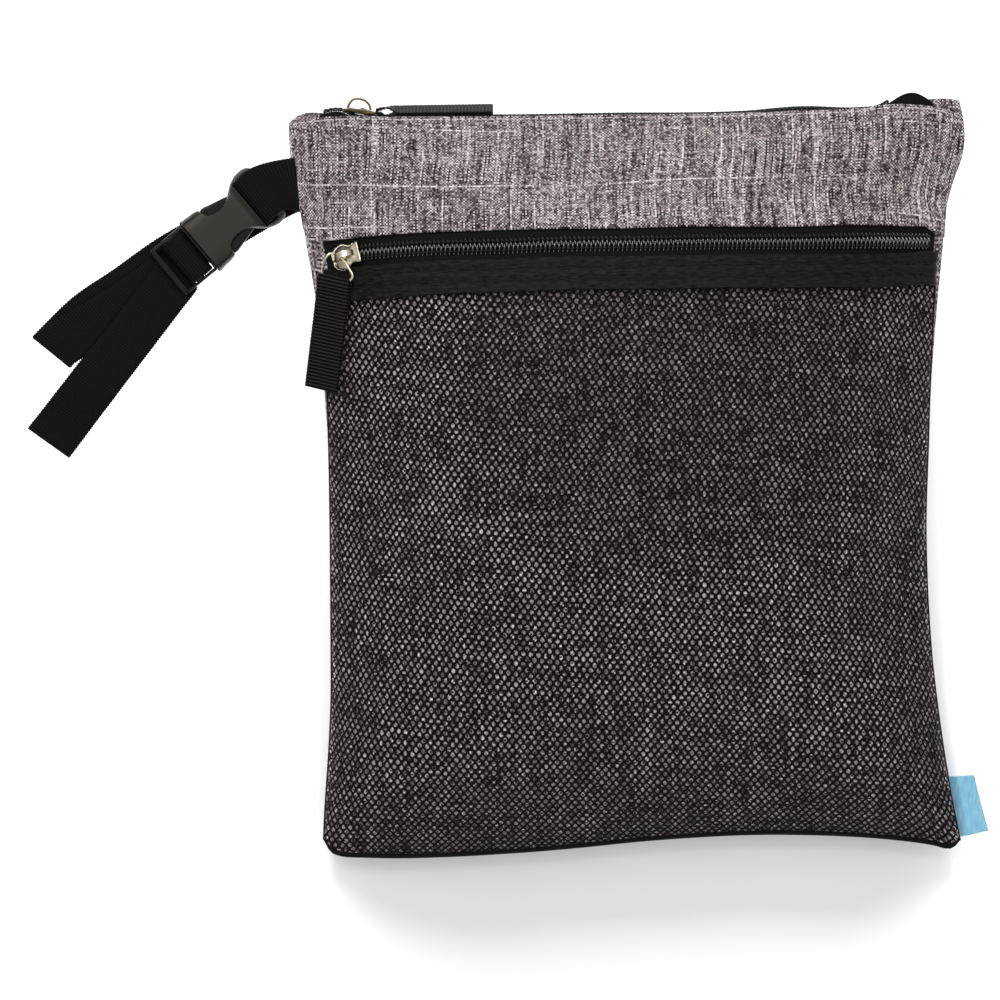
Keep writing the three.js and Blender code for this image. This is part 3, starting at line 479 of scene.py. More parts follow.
def skin(height, facing):
    def point(u, v):
        x, y = plan(u, v)
        return np.stack([x, y, height(u, v)], axis=-1)

    def place(u, v, out):
        u, v, out = np.broadcast_arrays(*(np.asarray(value, float) for value in (u, v, out)))
        across = point(np.minimum(u + STEP, 1), v) - point(np.maximum(u - STEP, 0), v)
        upward = point(u, v + STEP) - point(u, np.maximum(v - STEP, 0))
        normal = unit(np.cross(across, upward)) * facing
        level = smooth(np.minimum(u, 1 - u), 0, SEAM_TURN["side"]) * smooth(v, 0, SEAM_TURN["foot"])
        way = normal.copy()
        way[..., 2] *= level
        way = unit(way)
        reach = np.minimum(SEAM_TURN["most"], 1 / (way * normal).sum(-1))
        press = mix(SEAM_PRESS["share"], 1, smooth(np.minimum(u, 1 - u), 0, SEAM_PRESS["wide"]))
        return point(u, v) + way * (out * reach * press)[..., None]

    return place


# %% [markdown]
# ### Slack in the cloth
# A sewn bag is never quite even: its front has long shallow swells, and none of them reach the seams.
# A few crossing waves with seeded directions give them, the same on every run.

# %% Slack in the cloth
SWELL = {"seed": 11, "count": 7, "high": 0.32, "most_waves": 4.5}
SWELL_FADE = {"side": 0.14, "foot": 0.1, "mouth": 0.12}  # shares over which swells fade out at each seam
chance = np.random.default_rng(SWELL["seed"])
WAVES = chance.uniform(-SWELL["most_waves"], SWELL["most_waves"], (SWELL["count"], 2))
PHASES = chance.uniform(0, 2 * np.pi, SWELL["count"])


def slack(u, v):
    total = sum(np.sin(2 * np.pi * (a * u + b * v) + phase) for (a, b), phase in zip(WAVES, PHASES))
    fade = smooth(np.minimum(u, 1 - u), 0, SWELL_FADE["side"])
    fade = fade * smooth(v, 0, SWELL_FADE["foot"]) * smooth(1 - v, 0, SWELL_FADE["mouth"])
    return SWELL["high"] * total * fade


smooth_front = skin(front_height, 1)
back = skin(back_height, -1)


def front(u, v, out):
    return smooth_front(u, v, out + slack(u, v))


print("middle of the front above the floor, mm", round(float(front(0.5, 0.5, 0.0)[2]), 1))

# %% [markdown]
# ### Cloth coordinates
# Weaves and the net follow the cloth, so each place also needs its distances along the cloth: from the
# middle line across, and from mid height up. They are summed once over a fine table and then read off.

# %% Cloth coordinates
TABLE_U = np.linspace(0, 1, 161)
TABLE_V = np.linspace(0, 1, 193)
PAST_MOUTH = 1.05  # how far past the mouth a table may still be read


def distances(points, axis, middle):
    lengths = np.linalg.norm(np.diff(points, axis=axis), axis=-1)
    summed = np.insert(np.cumsum(lengths, axis=axis), 0, 0, axis=axis)
    return summed - np.take(summed, [middle], axis=axis)


def cloth_table(on):
    v, u = np.meshgrid(TABLE_V, TABLE_U, indexing="ij")
    points = on(u, v, 0)
    return np.stack([distances(points, 1, len(TABLE_U) // 2), distances(points, 0, len(TABLE_V) // 2)], -1)


def read_table(table, u, v):
    column = np.clip(u, 0, 1) * (len(TABLE_U) - 1)
    row = np.clip(v, 0, PAST_MOUTH) * (len(TABLE_V) - 1)
    i = np.minimum(column.astype(int), len(TABLE_U) - 2)
    j = np.minimum(row.astype(int), len(TABLE_V) - 2)
    p, q = (column - i)[..., None], (row - j)[..., None]
    low = mix(table[j, i], table[j, i + 1], p)
    return mix(low, mix(table[j + 1, i], table[j + 1, i + 1], p), q)


FRONT_CLOTH = cloth_table(front)
BACK_CLOTH = cloth_table(back)
cut = np.ptp(FRONT_CLOTH.reshape(-1, 2), axis=0)
print("front cloth at its widest, mm", np.round(cut, 1))

# %% [markdown]
# ## Making a sheet
# Every flat piece here is a cloth with two sides that meet round its rim: panels, tapes, ribbon, webbing,
# and the buckle's plates too. It is made of two grid primitives. Their vertices are moved onto the two
# sides of the piece, the lower one is turned over, and the two are joined and merged along the rim. Three
# rows close together at each rim round it off. The four corner points are taken off at the end, because
# both sides would end there in one and the same triangle.

# %% Making a sheet
RIM_ROWS = (0, 0.3, 1)
RIM_FULLNESS = (0, 0.75, 1)
MERGE = 1e-6  # metres, within which the points of two sides are one


def stops(count, rim):
    edge = np.array(RIM_ROWS[:2]) * rim
    shares = np.concatenate([edge, np.linspace(rim, 1 - rim, count - 3), 1 - edge[::-1]])
    fullness = np.ones(count + 1)
    fullness[:2] = RIM_FULLNESS[:2]
    fullness[-2:] = RIM_FULLNESS[1::-1]
    return shares, fullness


def select_only(*pieces):
    bpy.ops.object.select_all(action="DESELECT")
    for piece in pieces:
        piece.select_set(True)
    bpy.context.view_layer.objects.active = pieces[0]


def joined(pieces):
    select_only(*pieces)
    bpy.ops.object.join()
    return bpy.context.object


def edit(piece, *steps):
    """Runs operators on the whole piece in edit mode."""
    select_only(piece)
    bpy.ops.object.mode_set(mode="EDIT")
    bpy.ops.mesh.select_all(action="SELECT")
    for operator, settings in steps:
        operator(**settings)
    bpy.ops.object.mode_set(mode="OBJECT")


def positions(piece):
    points = np.empty(len(piece.data.vertices) * 3, np.float32)
    piece.data.vertices.foreach_get("co", points)
    return points.reshape(-1, 3).astype(float)


def place(piece, points):
    piece.data.vertices.foreach_set("co", (points * MM).astype(np.float32).ravel())
    piece.data.update()


def lay_flat(piece, flat):
    """Writes the cloth coordinates of each vertex to the piece's own UV map, in metres."""
    layer = piece.data.uv_layers.get("cloth") or piece.data.uv_layers.new(name="cloth")
    corners = np.empty(len(piece.data.loops), np.int32)
    piece.data.loops.foreach_get("vertex_index", corners)
    layer.data.foreach_set("uv", (flat[corners] * MM).astype(np.float32).ravel())


def trim_corners(piece):
    """Takes off the corner points, which are the ones with only two edges."""
    mesh = piece.data
    ends = np.empty(len(mesh.edges) * 2, np.int32)
    mesh.edges.foreach_get("vertices", ends)
    corner = np.bincount(ends, minlength=len(mesh.vertices)) == 2
    edit(piece, (bpy.ops.mesh.select_all, {"action": "DESELECT"}))
    mesh.vertices.foreach_set("select", corner)
    bpy.ops.object.mode_set(mode="EDIT")
    bpy.ops.mesh.dissolve_verts()
    bpy.ops.object.mode_set(mode="OBJECT")


def two_sided(grid, rims, surface, turned=False):
    """surface(s, t, level) gives points and cloth coordinates at shares across and along, and at a level
    from -1 on one side to 1 on the other."""
    columns, rows = grid
    across, across_full = stops(columns, rims[0])
    upward, upward_full = stops(rows, rims[1])
    sides = []
    for level in (1, -1):
        bpy.ops.mesh.primitive_grid_add(x_subdivisions=columns, y_subdivisions=rows, size=1, calc_uvs=False)
        side = bpy.context.object
        corner = positions(side)[:, :2] + 0.5
        i, j = np.rint(corner * (columns, rows)).astype(int).T
        full = np.minimum(across_full[i], upward_full[j])
        points, flat = surface(across[i], upward[j], level * full)
        place(side, points)
        lay_flat(side, flat)
        if (level < 0) != turned:
            edit(side, (bpy.ops.mesh.flip_normals, {}))
        sides.append(side)
    piece = joined(sides)
    edit(piece, (bpy.ops.mesh.remove_doubles, {"threshold": MERGE}))
    trim_corners(piece)
    return piece


def dress(piece, name, material, slot, *nodes, crease=None):
    """Names a finished piece, gives it its finish and lets it ride on the bag."""
    piece.name = name
    piece.data.name = name
    piece.data.materials.clear()
    piece.data.materials.append(material)
    select_only(piece)
    if crease is None:
        bpy.ops.object.shade_smooth()
    else:
        bpy.ops.object.shade_smooth_by_angle(angle=math.radians(crease))
    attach(piece, "root")
    if nodes:
        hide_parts(*nodes)
    print("made", name, len(piece.data.polygons), "faces")
    return piece


# %% [markdown]
# ### A cloth on the bag
# A panel, tape or hem is given by its lower and upper lines across the bag, its left and right ends, and
# the heights of its two sides out from the skin.

# %% A cloth on the bag
def at(value, *place):
    return value(*place) if callable(value) else value


def cloth(on, low, high, near, far, grid, left=0.0, right=1.0, rims=(0.003, 0.003)):
    table = BACK_CLOTH if on is back else FRONT_CLOTH

    def surface(s, t, level):
        v = mix(along(s, at(low, s)), along(s, at(high, s)), t)
        u = mix(at(left, v), at(right, v), s)
        inner, outer = at(near, u, v), at(far, u, v)
        points = on(u, v, (inner + outer) / 2 + level * (outer - inner) / 2)
        return points, read_table(table, u, v)

    return two_sided(grid, rims, surface, turned=on is back)


CLOTH = 1.2  # thickness
NET = 0.8
# share across, the yoke's lower edge
YOKE_EDGE = (
    (0, 97.5),
    (0.03, 98.1),
    (0.08, 99.2),
    (0.14, 100),
    (0.22, 100.75),
    (0.35, 101.45),
    (0.55, 102.2),
    (0.76, 103.1),
    (0.93, 104),
    (1, 104.4),
)
# how the yoke's edge curves down round the zip's right end
ZIP_CORNER = {"drop": 4.2, "start": 0.962, "end": 0.985}
TAPE_TOP = GAP + NET
OVER_TAPE = TAPE_TOP + GAP
yoke_edge = curve(YOKE_EDGE, 1)


# %% [markdown]
# ## Back, front and yoke
# The three heather panels. The front panel lies behind the net and stands back from it where the photo
# shows the net darkest, which is where the pocket hangs a little open. The yoke covers the top of the
# pocket's zip, and its folded edge and the hem at the mouth are a little thicker than the cloth.

# %% Back, front and yoke
SLACK_POCKET = {"deep": 1.4, "u": 0.56, "v": 0.66, "wide": 0.42, "tall": 0.34}
YOKE_EASE = (4.6, 14)  # above its edge, where the yoke comes down from over the tape onto the bag
# how far the yoke's folded edge and the hem at the mouth stand proud, and where each falls off
YOKE_FOLD = {"proud": 0.45, "start": 1.92, "end": 3.2}
MOUTH_HEM = {"proud": 0.4, "start": 3.85, "end": 5.5}
YOKE_CORNER = {"inset": 0.016, "start": 0.5, "end": 9}  # how the yoke's lower left corner is rounded off
# how far the front goes up under the yoke
FRONT_UNDER = {"most": 8.5, "least": 3, "start": 0.04, "end": 0.09}


def pocket_gap(u, v):
    """How far the front panel stands back from the net."""
    side = (u - SLACK_POCKET["u"]) / SLACK_POCKET["wide"]
    rise = (v - SLACK_POCKET["v"]) / SLACK_POCKET["tall"]
    return SLACK_POCKET["deep"] * smooth(1 - (side**2 + rise**2), 0, 1)


def yoke_foot(u):
    return yoke_edge(u) - ZIP_CORNER["drop"] * smooth(u, ZIP_CORNER["start"], ZIP_CORNER["end"])


def yoke_inside(u, v):
    above = plan(u, v)[1] - yoke_foot(u)
    return mix(OVER_TAPE, -CLOTH, smooth(above, *YOKE_EASE))


def yoke_outside(u, v):
    y = plan(u, v)[1]
    above = y - yoke_foot(u)
    below = mouth(u) - y
    fold = YOKE_FOLD["proud"] * (1 - smooth(above, YOKE_FOLD["start"], YOKE_FOLD["end"]))
    hem = MOUTH_HEM["proud"] * (1 - smooth(below, MOUTH_HEM["start"], MOUTH_HEM["end"]))
    return yoke_inside(u, v) + CLOTH + fold + hem


def yoke_left(v):
    above = plan(0.0, v)[1] - yoke_foot(0.0)
    return YOKE_CORNER["inset"] * (1 - smooth(above, YOKE_CORNER["start"], YOKE_CORNER["end"])) ** 2


def front_top(u):
    under = smooth(u, FRONT_UNDER["start"], FRONT_UNDER["end"])
    return yoke_edge(u) + mix(FRONT_UNDER["most"], FRONT_UNDER["least"], under)


back_panel = cloth(back, bottom, back_mouth, -CLOTH, 0.0, grid=(90, 100))
dress(back_panel, "back_cloth", HEATHER, "heather_cloth", "back_panel")
front_panel = cloth(
    front,
    bottom,
    front_top,
    lambda u, v: -CLOTH - pocket_gap(u, v),
    lambda u, v: -pocket_gap(u, v),
    grid=(100, 120),
)
dress(front_panel, "front_cloth", HEATHER_BEHIND_NET, "heather_cloth", "front_panel")
# of the whole bag, only this panel throws a shadow on the paper in the strip lamps
shading = bpy.data.collections.new("shading")
shading.objects.link(front_panel)
for made in paper_lamps:
    made.light_linking.blocker_collection = shading
yoke = cloth(
    front, yoke_foot, mouth, yoke_inside, yoke_outside, grid=(150, 56), left=yoke_left, rims=(0.003, 0.012)
)
dress(yoke, "yoke_cloth", HEATHER, "heather_cloth", "yoke")

# %% [markdown]
# ## The net
# The pocket is a knitted net with staggered upright holes. Each hole has four crossings round it, shared
# with its neighbours, and a six sided rim halfway through the net. Crossings are laid out on the flat
# cloth, where rows tilt a little and drift as the photo shows, and each is then found on the bag.

# %% The net
HOLE = {"across": 3.02, "row": 2.15, "wide": 0.54, "tall": 0.55, "flat": 0.24}
NET_LEAN = 0.047  # how far the columns of holes lean, for each millimetre up
ROW_TILT = (-0.14, 0.00016)  # slope of the rows at the middle, and how it eases to the right
NET_REACH = (96, 96)  # half the number of half holes across, and of rows
NET_TOP = 22  # below the yoke's edge, under the ribbon
STRAND = 0.5
# where holes may lie: above the bottom seam, past the net's top, and how far off the cloth's own measure
HOLE_ROOM = {"foot": 0.8, "top": 1.0, "off": 0.2}
FIND_STEPS = 14
# share along, how far the net's edge stands in from the left and right seams
NET_INSET = (
    (0, 0, 0),
    (0.5, 0, 0),
    (0.58, 0.002, 0),
    (0.63, 0.005, 0.001),
    (0.7, 0.009, 0.004),
    (0.75, 0.012, 0.007),
    (0.9, 0.022, 0.012),
)
HEM_SHARE = 0.0025
# the six points of a hole's rim, as shares of the ways to its right, upper, left and lower crossing
wide, tall, flat = HOLE["wide"], HOLE["tall"], HOLE["flat"]
RIM_SHARES = np.array(
    [
        (wide, flat, 0, 0),
        (0, tall, 0, 0),
        (0, flat, wide, 0),
        (0, 0, wide, flat),
        (0, 0, 0, tall),
        (wide, 0, 0, flat),
    ]
)
net_left = curve(NET_INSET, 1)
net_right = curve(NET_INSET, 2)


def below_edge(drop):
    """A line across the bag at a distance below the yoke's edge."""
    return lambda u: yoke_edge(u) - drop


net_top = below_edge(NET_TOP)


def find_on_front(s, t):
    """The u and v of places on the flat cloth, and how far off each still is."""
    u = 0.5 + s / cut[0]
    v = 0.5 + t / cut[1]
    for _ in range(FIND_STEPS):
        now = read_table(FRONT_CLOTH, u, v)
        u = np.clip(u + (s - now[..., 0]) / cut[0], 0, 1)
        v = np.clip(v + (t - now[..., 1]) / cut[1], 0, 1)
    now = read_table(FRONT_CLOTH, u, v)
    return u, v, np.hypot(s - now[..., 0], t - now[..., 1])


def from_arrays(name, points, faces, flat):
    mesh = bpy.data.meshes.new(name)
    mesh.from_pydata(points * MM, [], faces)
    piece = bpy.data.objects.new(name, mesh)
    bpy.context.scene.collection.objects.link(piece)
    lay_flat(piece, flat)
    return piece


def net_pocket():
    columns, rows = NET_REACH
    i, j = np.meshgrid(np.arange(-columns, columns + 1), np.arange(-rows, rows + 1), indexing="ij")
    s0 = i * HOLE["across"] / 2
    t0 = j * HOLE["row"]
    u, v, off = find_on_front(s0 + NET_LEAN * t0, t0 + ROW_TILT[0] * s0 + ROW_TILT[1] * s0**2)
    y = plan(u, v)[1]
    held = (u > net_left(v) + HEM_SHARE) & (u < 1 - net_right(v) - HEM_SHARE) & (off < HOLE_ROOM["off"])
    held &= (y > bottom(u) + HOLE_ROOM["foot"]) & (y < net_top(u) + HOLE_ROOM["top"])
    hole = held & ((i + j) % 2 == 0)
    hole[[0, -1], :] = False
    hole[:, [0, -1]] = False
    u = np.clip(u, net_left(v), 1 - net_right(v))
    hi, hj = np.nonzero(hole)
    number = np.arange(i.size).reshape(i.shape)
    around = [number[hi + 1, hj], number[hi, hj + 1], number[hi - 1, hj], number[hi, hj - 1]]
    crossing, corner = np.unique(np.stack(around, axis=1), return_inverse=True)
    corner = corner.reshape(-1, 4)
    u_at, v_at = u.ravel()[crossing], v.ravel()[crossing]
    ridge = front(u_at, v_at, GAP + STRAND)
    keel = front(u_at, v_at, GAP)
    middle = front(u[hi, hj], v[hi, hj], GAP + STRAND / 2)
    ways = ((ridge + keel) / 2)[corner] - middle[:, None, :]
    rim = middle[:, None, :] + np.einsum("rk,nkc->nrc", RIM_SHARES, ways)
    points = np.concatenate([ridge, keel, rim.reshape(-1, 3)])
    count = len(crossing)
    inner = 2 * count + np.arange(len(corner) * 6).reshape(-1, 6)
    after = np.roll(corner, -1, axis=1)
    begin, end = inner[:, [0, 1, 3, 4]], inner[:, [1, 2, 4, 5]]
    upper = np.stack([corner, after, end, begin], axis=-1).reshape(-1, 4)
    lower = np.stack([after + count, corner + count, begin, end], axis=-1).reshape(-1, 4)
    ends, first, second = corner[:, [0, 2]], inner[:, [5, 2]], inner[:, [0, 3]]
    upper_ends = np.stack([ends, second, first], axis=-1).reshape(-1, 3)
    lower_ends = np.stack([ends + count, first, second], axis=-1).reshape(-1, 3)
    edges = np.stack([corner, after], axis=-1).reshape(-1, 2)
    keys, times = np.unique(np.sort(edges, axis=1) @ (count, 1), return_counts=True)
    free = edges[np.isin(np.sort(edges, axis=1) @ (count, 1), keys[times == 1])]
    border = np.stack([free[:, 1], free[:, 0], free[:, 0] + count, free[:, 1] + count], axis=-1)
    faces = [face for group in (upper, lower, border, upper_ends, lower_ends) for face in group.tolist()]
    print("net holes", len(corner))
    return from_arrays("net", points, faces, points[:, :2])


net = net_pocket()
dress(net, "net_pocket", NET_YARN, "pocket_net", "mesh_pocket")

# %% [markdown]
# The net's cut edge is turned in along the side and bottom seams, where it shows as a narrow dark rim.

# %% Turned edge of the net
HEM_HIGH = TAPE_TOP + 0.25  # a little above the net
BOTTOM_HEM = 1.05


def side_hem(inner, outer):
    return cloth(
        front, bottom, net_top, GAP, HEM_HIGH, grid=(6, 150), left=inner, right=outer, rims=(0.2, 0.002)
    )


def net_hem():
    left = side_hem(net_left, lambda v: net_left(v) + HEM_SHARE)
    right = side_hem(lambda v: 1 - net_right(v) - HEM_SHARE, lambda v: 1 - net_right(v))
    foot = cloth(
        front,
        bottom,
        lambda u: bottom(u) + BOTTOM_HEM,
        GAP,
        HEM_HIGH,
        grid=(150, 6),
        left=HEM_SHARE,
        right=1 - HEM_SHARE,
        rims=(0.002, 0.2),
    )
    return joined([left, right, foot])


dress(net_hem(), "net_hem", NET_YARN, "pocket_net")

# %% [markdown]
# ## The pocket's zip
# The tape lies under the yoke's edge, and a ribbon covers the net's top edge below it. Two rows of
# stitching press grooves into the ribbon, and between them it stands up in soft rolls.

# %% Tape and ribbon
TAPE_DEPTH = 13  # below the yoke's edge
TAPE_UNDER = 3.4  # up under the yoke
TAPE_ENDS = (0.03, 0.982)
BAND_ENDS = (0.028, 0.984)
BAND_TOP = 11.3  # below the yoke's edge
BAND_FOOT = 25
BAND_ROWS = (3.8, 8.7)  # rows of stitching below the ribbon's top edge
BAND_GROOVE = {"deep": 0.6, "wide": 1.1}
BAND_HIGH = 1.3  # where it is not pressed
# the ribbon's puckers: height, waves across the bag, and how a slower wave shifts them
PUCKER = {"fine": 0.12, "fine_waves": 610, "shift": 3, "shift_waves": 47, "broad": 0.1, "broad_waves": 233}


def strip(low, high, near, far, ends, grid):
    return cloth(front, low, high, near, far, grid, left=ends[0], right=ends[1], rims=(0.002, 0.03))


tape = strip(below_edge(TAPE_DEPTH), below_edge(-TAPE_UNDER), GAP, TAPE_TOP, TAPE_ENDS, (160, 10))
dress(tape, "pocket_tape", ZIP_TAPE, "zip_tape", "pocket_zip_tape")


def band_outside(u, v):
    below = yoke_edge(u) - BAND_TOP - plan(u, v)[1]
    groove = sum(np.exp(-(((below - row) / BAND_GROOVE["wide"]) ** 2)) for row in BAND_ROWS)
    shift = PUCKER["shift"] * np.sin(PUCKER["shift_waves"] * u)
    pucker = PUCKER["fine"] * np.sin(PUCKER["fine_waves"] * u + shift)
    pucker = pucker + PUCKER["broad"] * np.sin(PUCKER["broad_waves"] * u + below)
    return OVER_TAPE + BAND_HIGH - BAND_GROOVE["deep"] * groove + pucker * (1 - groove)


band = strip(below_edge(BAND_FOOT), below_edge(BAND_TOP), OVER_TAPE, band_outside, BAND_ENDS, (320, 30))
dress(band, "pocket_ribbon", RIBBON, "black_ribbon", "pocket_band")

# %% [markdown]
# ## Small repeats: coils and stitches
# A zip has hundreds of coil turns and a seam hundreds of stitches. Each is modelled once, from a small
# sphere drawn out to its shape, and copied along its line with arrays into one joined mesh.

# %% Copying along a line
LINE_POINTS = 1500
NEAR = 0.001  # a small step across or up, to find a direction


def axes_on_front(u, line):
    """Directions ahead along a line across the front, up the bag, and out."""
    before, after = u - NEAR, u + NEAR
    ahead = unit(front(after, along(after, line(after)), 0) - front(before, along(before, line(before)), 0))
    v = along(u, line(u))
    outward = unit(np.cross(ahead, front(u, v + NEAR, 0) - front(u, v - NEAR, 0)))
    return np.stack([ahead, np.cross(outward, ahead), outward], axis=1)


def run_lengths(points):
    """Distances along a line of points, from its start."""
    return np.insert(np.cumsum(np.linalg.norm(np.diff(points, axis=0), axis=1)), 0, 0)


def even_steps(on_line, first, last, pitch, offset):
    """Shares across the bag at even steps along a line."""
    u = np.linspace(first, last, LINE_POINTS)
    lengths = run_lengths(on_line(u))
    return np.interp(np.arange(offset + pitch / 2, lengths[-1], pitch), lengths, u)


def line_on_front(line, out, first, last, pitch, offset=0.0):
    """Middles and directions at even steps along a line across the front."""

    def on_line(u):
        v = along(u, line(u))
        return front(u, v, at(out, u, v))

    u = even_steps(on_line, first, last, pitch, offset)
    return on_line(u), axes_on_front(u, line)


def face_outward(piece):
    edit(piece, (bpy.ops.mesh.normals_make_consistent, {"inside": False}))


def drawn_ball(shape, segments, rings):
    """A small sphere whose points are moved by a shape function, in millimetres."""
    bpy.ops.mesh.primitive_uv_sphere_add(segments=segments, ring_count=rings, radius=1, calc_uvs=False)
    ball = bpy.context.object
    place(ball, shape(*positions(ball).T))
    face_outward(ball)
    return ball


def scatter(seed, middles, axes):
    """One mesh with a copy of the seed at each middle. The seed itself is removed."""
    shape = positions(seed) / MM
    faces = [tuple(face.vertices) for face in seed.data.polygons]
    points = middles[:, None, :] + np.einsum("pk,nkc->npc", shape, axes)
    copies = [tuple(n * len(shape) + k for k in face) for n in range(len(middles)) for face in faces]
    bpy.data.objects.remove(seed)
    return from_arrays("copies", points.reshape(-1, 3), copies, np.tile(shape[:, :2], (len(middles), 1)))


# %% Coils of the pocket's zip
COIL = {"pitch": 1.845, "head": 0.9, "width": 0.66, "shank": 0.42, "high": 2.0, "low": 0.58, "lean": 0.14}
COIL_NECK = (-1.7, -0.5)  # from the chain's middle, where a shank widens to the head
# the thread over each shank: half its length and width, slant, share of the way out, height and thickness
COIL_THREAD = {"half": 0.95, "wide": 0.72, "slant": 0.2, "out": 0.55, "at": 1.3, "thick": 0.45}
COIL_OUTER = {"pocket": 3.8, "mouth": 2.9}  # from the chain's middle to the sewn edge of each coil
CHAIN_DROP = 6
CHAIN_ENDS = (0.045, 0.972)
chain_middle = below_edge(CHAIN_DROP)


def coil_turn(side, outer):
    """One turn of the coil, from its sewn edge to its head past the middle, leaning ahead."""

    def shape(x, y, z):
        reach = mix(-outer, COIL["head"], (y + 1) / 2)
        head = smooth(reach, *COIL_NECK)
        width = mix(COIL["shank"], COIL["width"], head)
        high = mix(COIL["low"], 1.0, head) * COIL["high"] / 2
        return np.stack([x * width + COIL["lean"] * (reach + 1), side * reach, high * (1 + z)], axis=-1)

    return drawn_ball(shape, segments=8, rings=7)


def sewing_loop(side, outer):
    """The thread that holds each turn down, lying across its shank."""

    def shape(x, y, z):
        off = COIL_THREAD["wide"] * y + COIL_THREAD["slant"] * x - COIL_THREAD["out"] * outer
        high = COIL_THREAD["at"] + COIL_THREAD["thick"] * z
        return np.stack([COIL_THREAD["half"] * x, side * off, high], axis=-1)

    return drawn_ball(shape, segments=6, rings=5)


def zip_chain(line, outer):
    """Both rows of turns and their threads along a line of middles and directions."""
    coils = []
    threads = []
    for side in (1, -1):
        middles, axes = line(COIL["pitch"] / 2 * (side > 0))
        coils.append(scatter(coil_turn(side, outer), middles, axes))
        threads.append(scatter(sewing_loop(side, outer), middles, axes))
    return joined(coils), joined(threads)


coils, threads = zip_chain(
    lambda offset: line_on_front(chain_middle, TAPE_TOP, *CHAIN_ENDS, COIL["pitch"], offset),
    COIL_OUTER["pocket"],
)
dress(coils, "pocket_coils", NYLON_COIL, "zip_coil", "pocket_zip_chain")
dress(threads, "pocket_coil_thread", BLACK_THREAD, "zip_tape")

# %% Rows of stitches
STITCH = {"pitch": 3.0, "length": 2.5, "wide": 0.42, "high": 0.34, "lift": 0.25}
STITCH_ENDS = {"ribbon": (0.032, 0.98), "mouth": (0.008, 0.992)}
TOPSTITCH = 1.7  # below the mouth


def stitch_shape(x, y, z):
    long = np.cbrt(x) * STITCH["length"] / 2
    return np.stack([long, STITCH["wide"] / 2 * y, STITCH["high"] * (z + STITCH["lift"])], axis=-1)


def stitches(line, out, ends):
    seed = drawn_ball(stitch_shape, segments=6, rings=6)
    return scatter(seed, *line_on_front(line, out, *ends, STITCH["pitch"]))


rows = [stitches(below_edge(BAND_TOP + drop), band_outside, STITCH_ENDS["ribbon"]) for drop in BAND_ROWS]
dress(joined(rows), "ribbon_stitches", BLACK_THREAD, "black_ribbon")
hem_row = stitches(lambda u: mouth(u) - TOPSTITCH, yoke_outside, STITCH_ENDS["mouth"])
dress(hem_row, "mouth_stitches", GREY_THREAD, "heather_cloth")

# %% [markdown]
# ## The mouth's zip
# Its tape comes up from inside the yoke, lies flat across the mouth and goes down inside the back. It
# stands proud where the photo shows it arch out at both ends.

# %% The mouth's zip
# share across, how far the tape stands proud of the mouth
TAPE_PROUD = (
    (0.04, 0.8),
    (0.075, 1.9),
    (0.1, -0.9),
    (0.14, -0.9),
    (0.5, -0.7),
    (0.67, -0.7),
    (0.76, 0.35),
    (0.85, -1.2),
    (0.877, -1.2),
    (0.928, 5),
    (0.958, 2),
)
TOP_ENDS = (0.045, 0.958)
TOP_CHAIN_ENDS = (0.05, 0.893)
TOP_TAPE = {"leg": 0.983, "rim": 0.998, "half": 2.9, "turn": 0.4, "around": 20}
tape_proud = curve(TAPE_PROUD, 1)


def mouth_section(u, wall):
    """The tape's line across the mouth, as six points from inside the yoke to inside the back."""
    under = -CLOTH - 1.5 * GAP - wall
    top = smooth_front(u, TOP_TAPE["rim"], under)
    foot = back(u, TOP_TAPE["rim"], under)
    middle = (top[..., 2] + foot[..., 2]) / 2
    half = np.minimum(TOP_TAPE["half"], (top[..., 2] - foot[..., 2]) / 2 - TOP_TAPE["turn"])
    face = mouth(u) + tape_proud(u) - wall
    x = (top[..., 0] + foot[..., 0]) / 2
    upper = np.stack([x, face, middle + half - wall / 2], axis=-1)
    lower = np.stack([x, face, middle - half + wall / 2], axis=-1)
    inside = smooth_front(u, TOP_TAPE["leg"], under)
    return np.stack([inside, top, upper, lower, foot, back(u, TOP_TAPE["leg"], under)], axis=-2)


def mouth_tape(s, t, level):
    u = mix(*TOP_ENDS, s)
    line = mouth_section(u, (NET / 2) * (1 - level))
    place_on = (1 - t) * (line.shape[-2] - 1)
    k = np.minimum(place_on.astype(int), line.shape[-2] - 2)
    rows = np.arange(len(u))
    points = mix(line[rows, k], line[rows, k + 1], (place_on - k)[:, None])
    return points, np.stack([points[:, 0], TOP_TAPE["around"] * t], axis=-1)


top_tape = two_sided((160, 40), (0.002, 0.02), mouth_tape, turned=True)
dress(top_tape, "mouth_tape", ZIP_TAPE, "zip_tape", "top_zip_tape")


def mouth_middle(u):
    return mouth_section(u, 0)[:, 2:4].mean(1)


def axes_on_mouth(u):
    ahead = unit(mouth_middle(u + NEAR) - mouth_middle(u - NEAR))
    outward = unit(np.cross((0.0, 0.0, 1.0), ahead))
    return np.stack([ahead, np.cross(outward, ahead), outward], axis=1)


def line_on_mouth(offset):
    u = even_steps(mouth_middle, *TOP_CHAIN_ENDS, COIL["pitch"], offset)
    return mouth_middle(u), axes_on_mouth(u)


coils, threads = zip_chain(line_on_mouth, COIL_OUTER["mouth"])
dress(coils, "mouth_coils", NYLON_COIL, "zip_coil", "top_zip_chain")
dress(threads, "mouth_coil_thread", BLACK_THREAD, "zip_tape")

# %% [markdown]
# ## Webbing
# The straps and the pull tabs are ribbed webbing. A strip is swept along stations, each with a middle, a
# direction across and half a width. Its ribs are real: the strip swells and its edges step in and out
# with every weft, which gives the saw-toothed outline that webbing has.

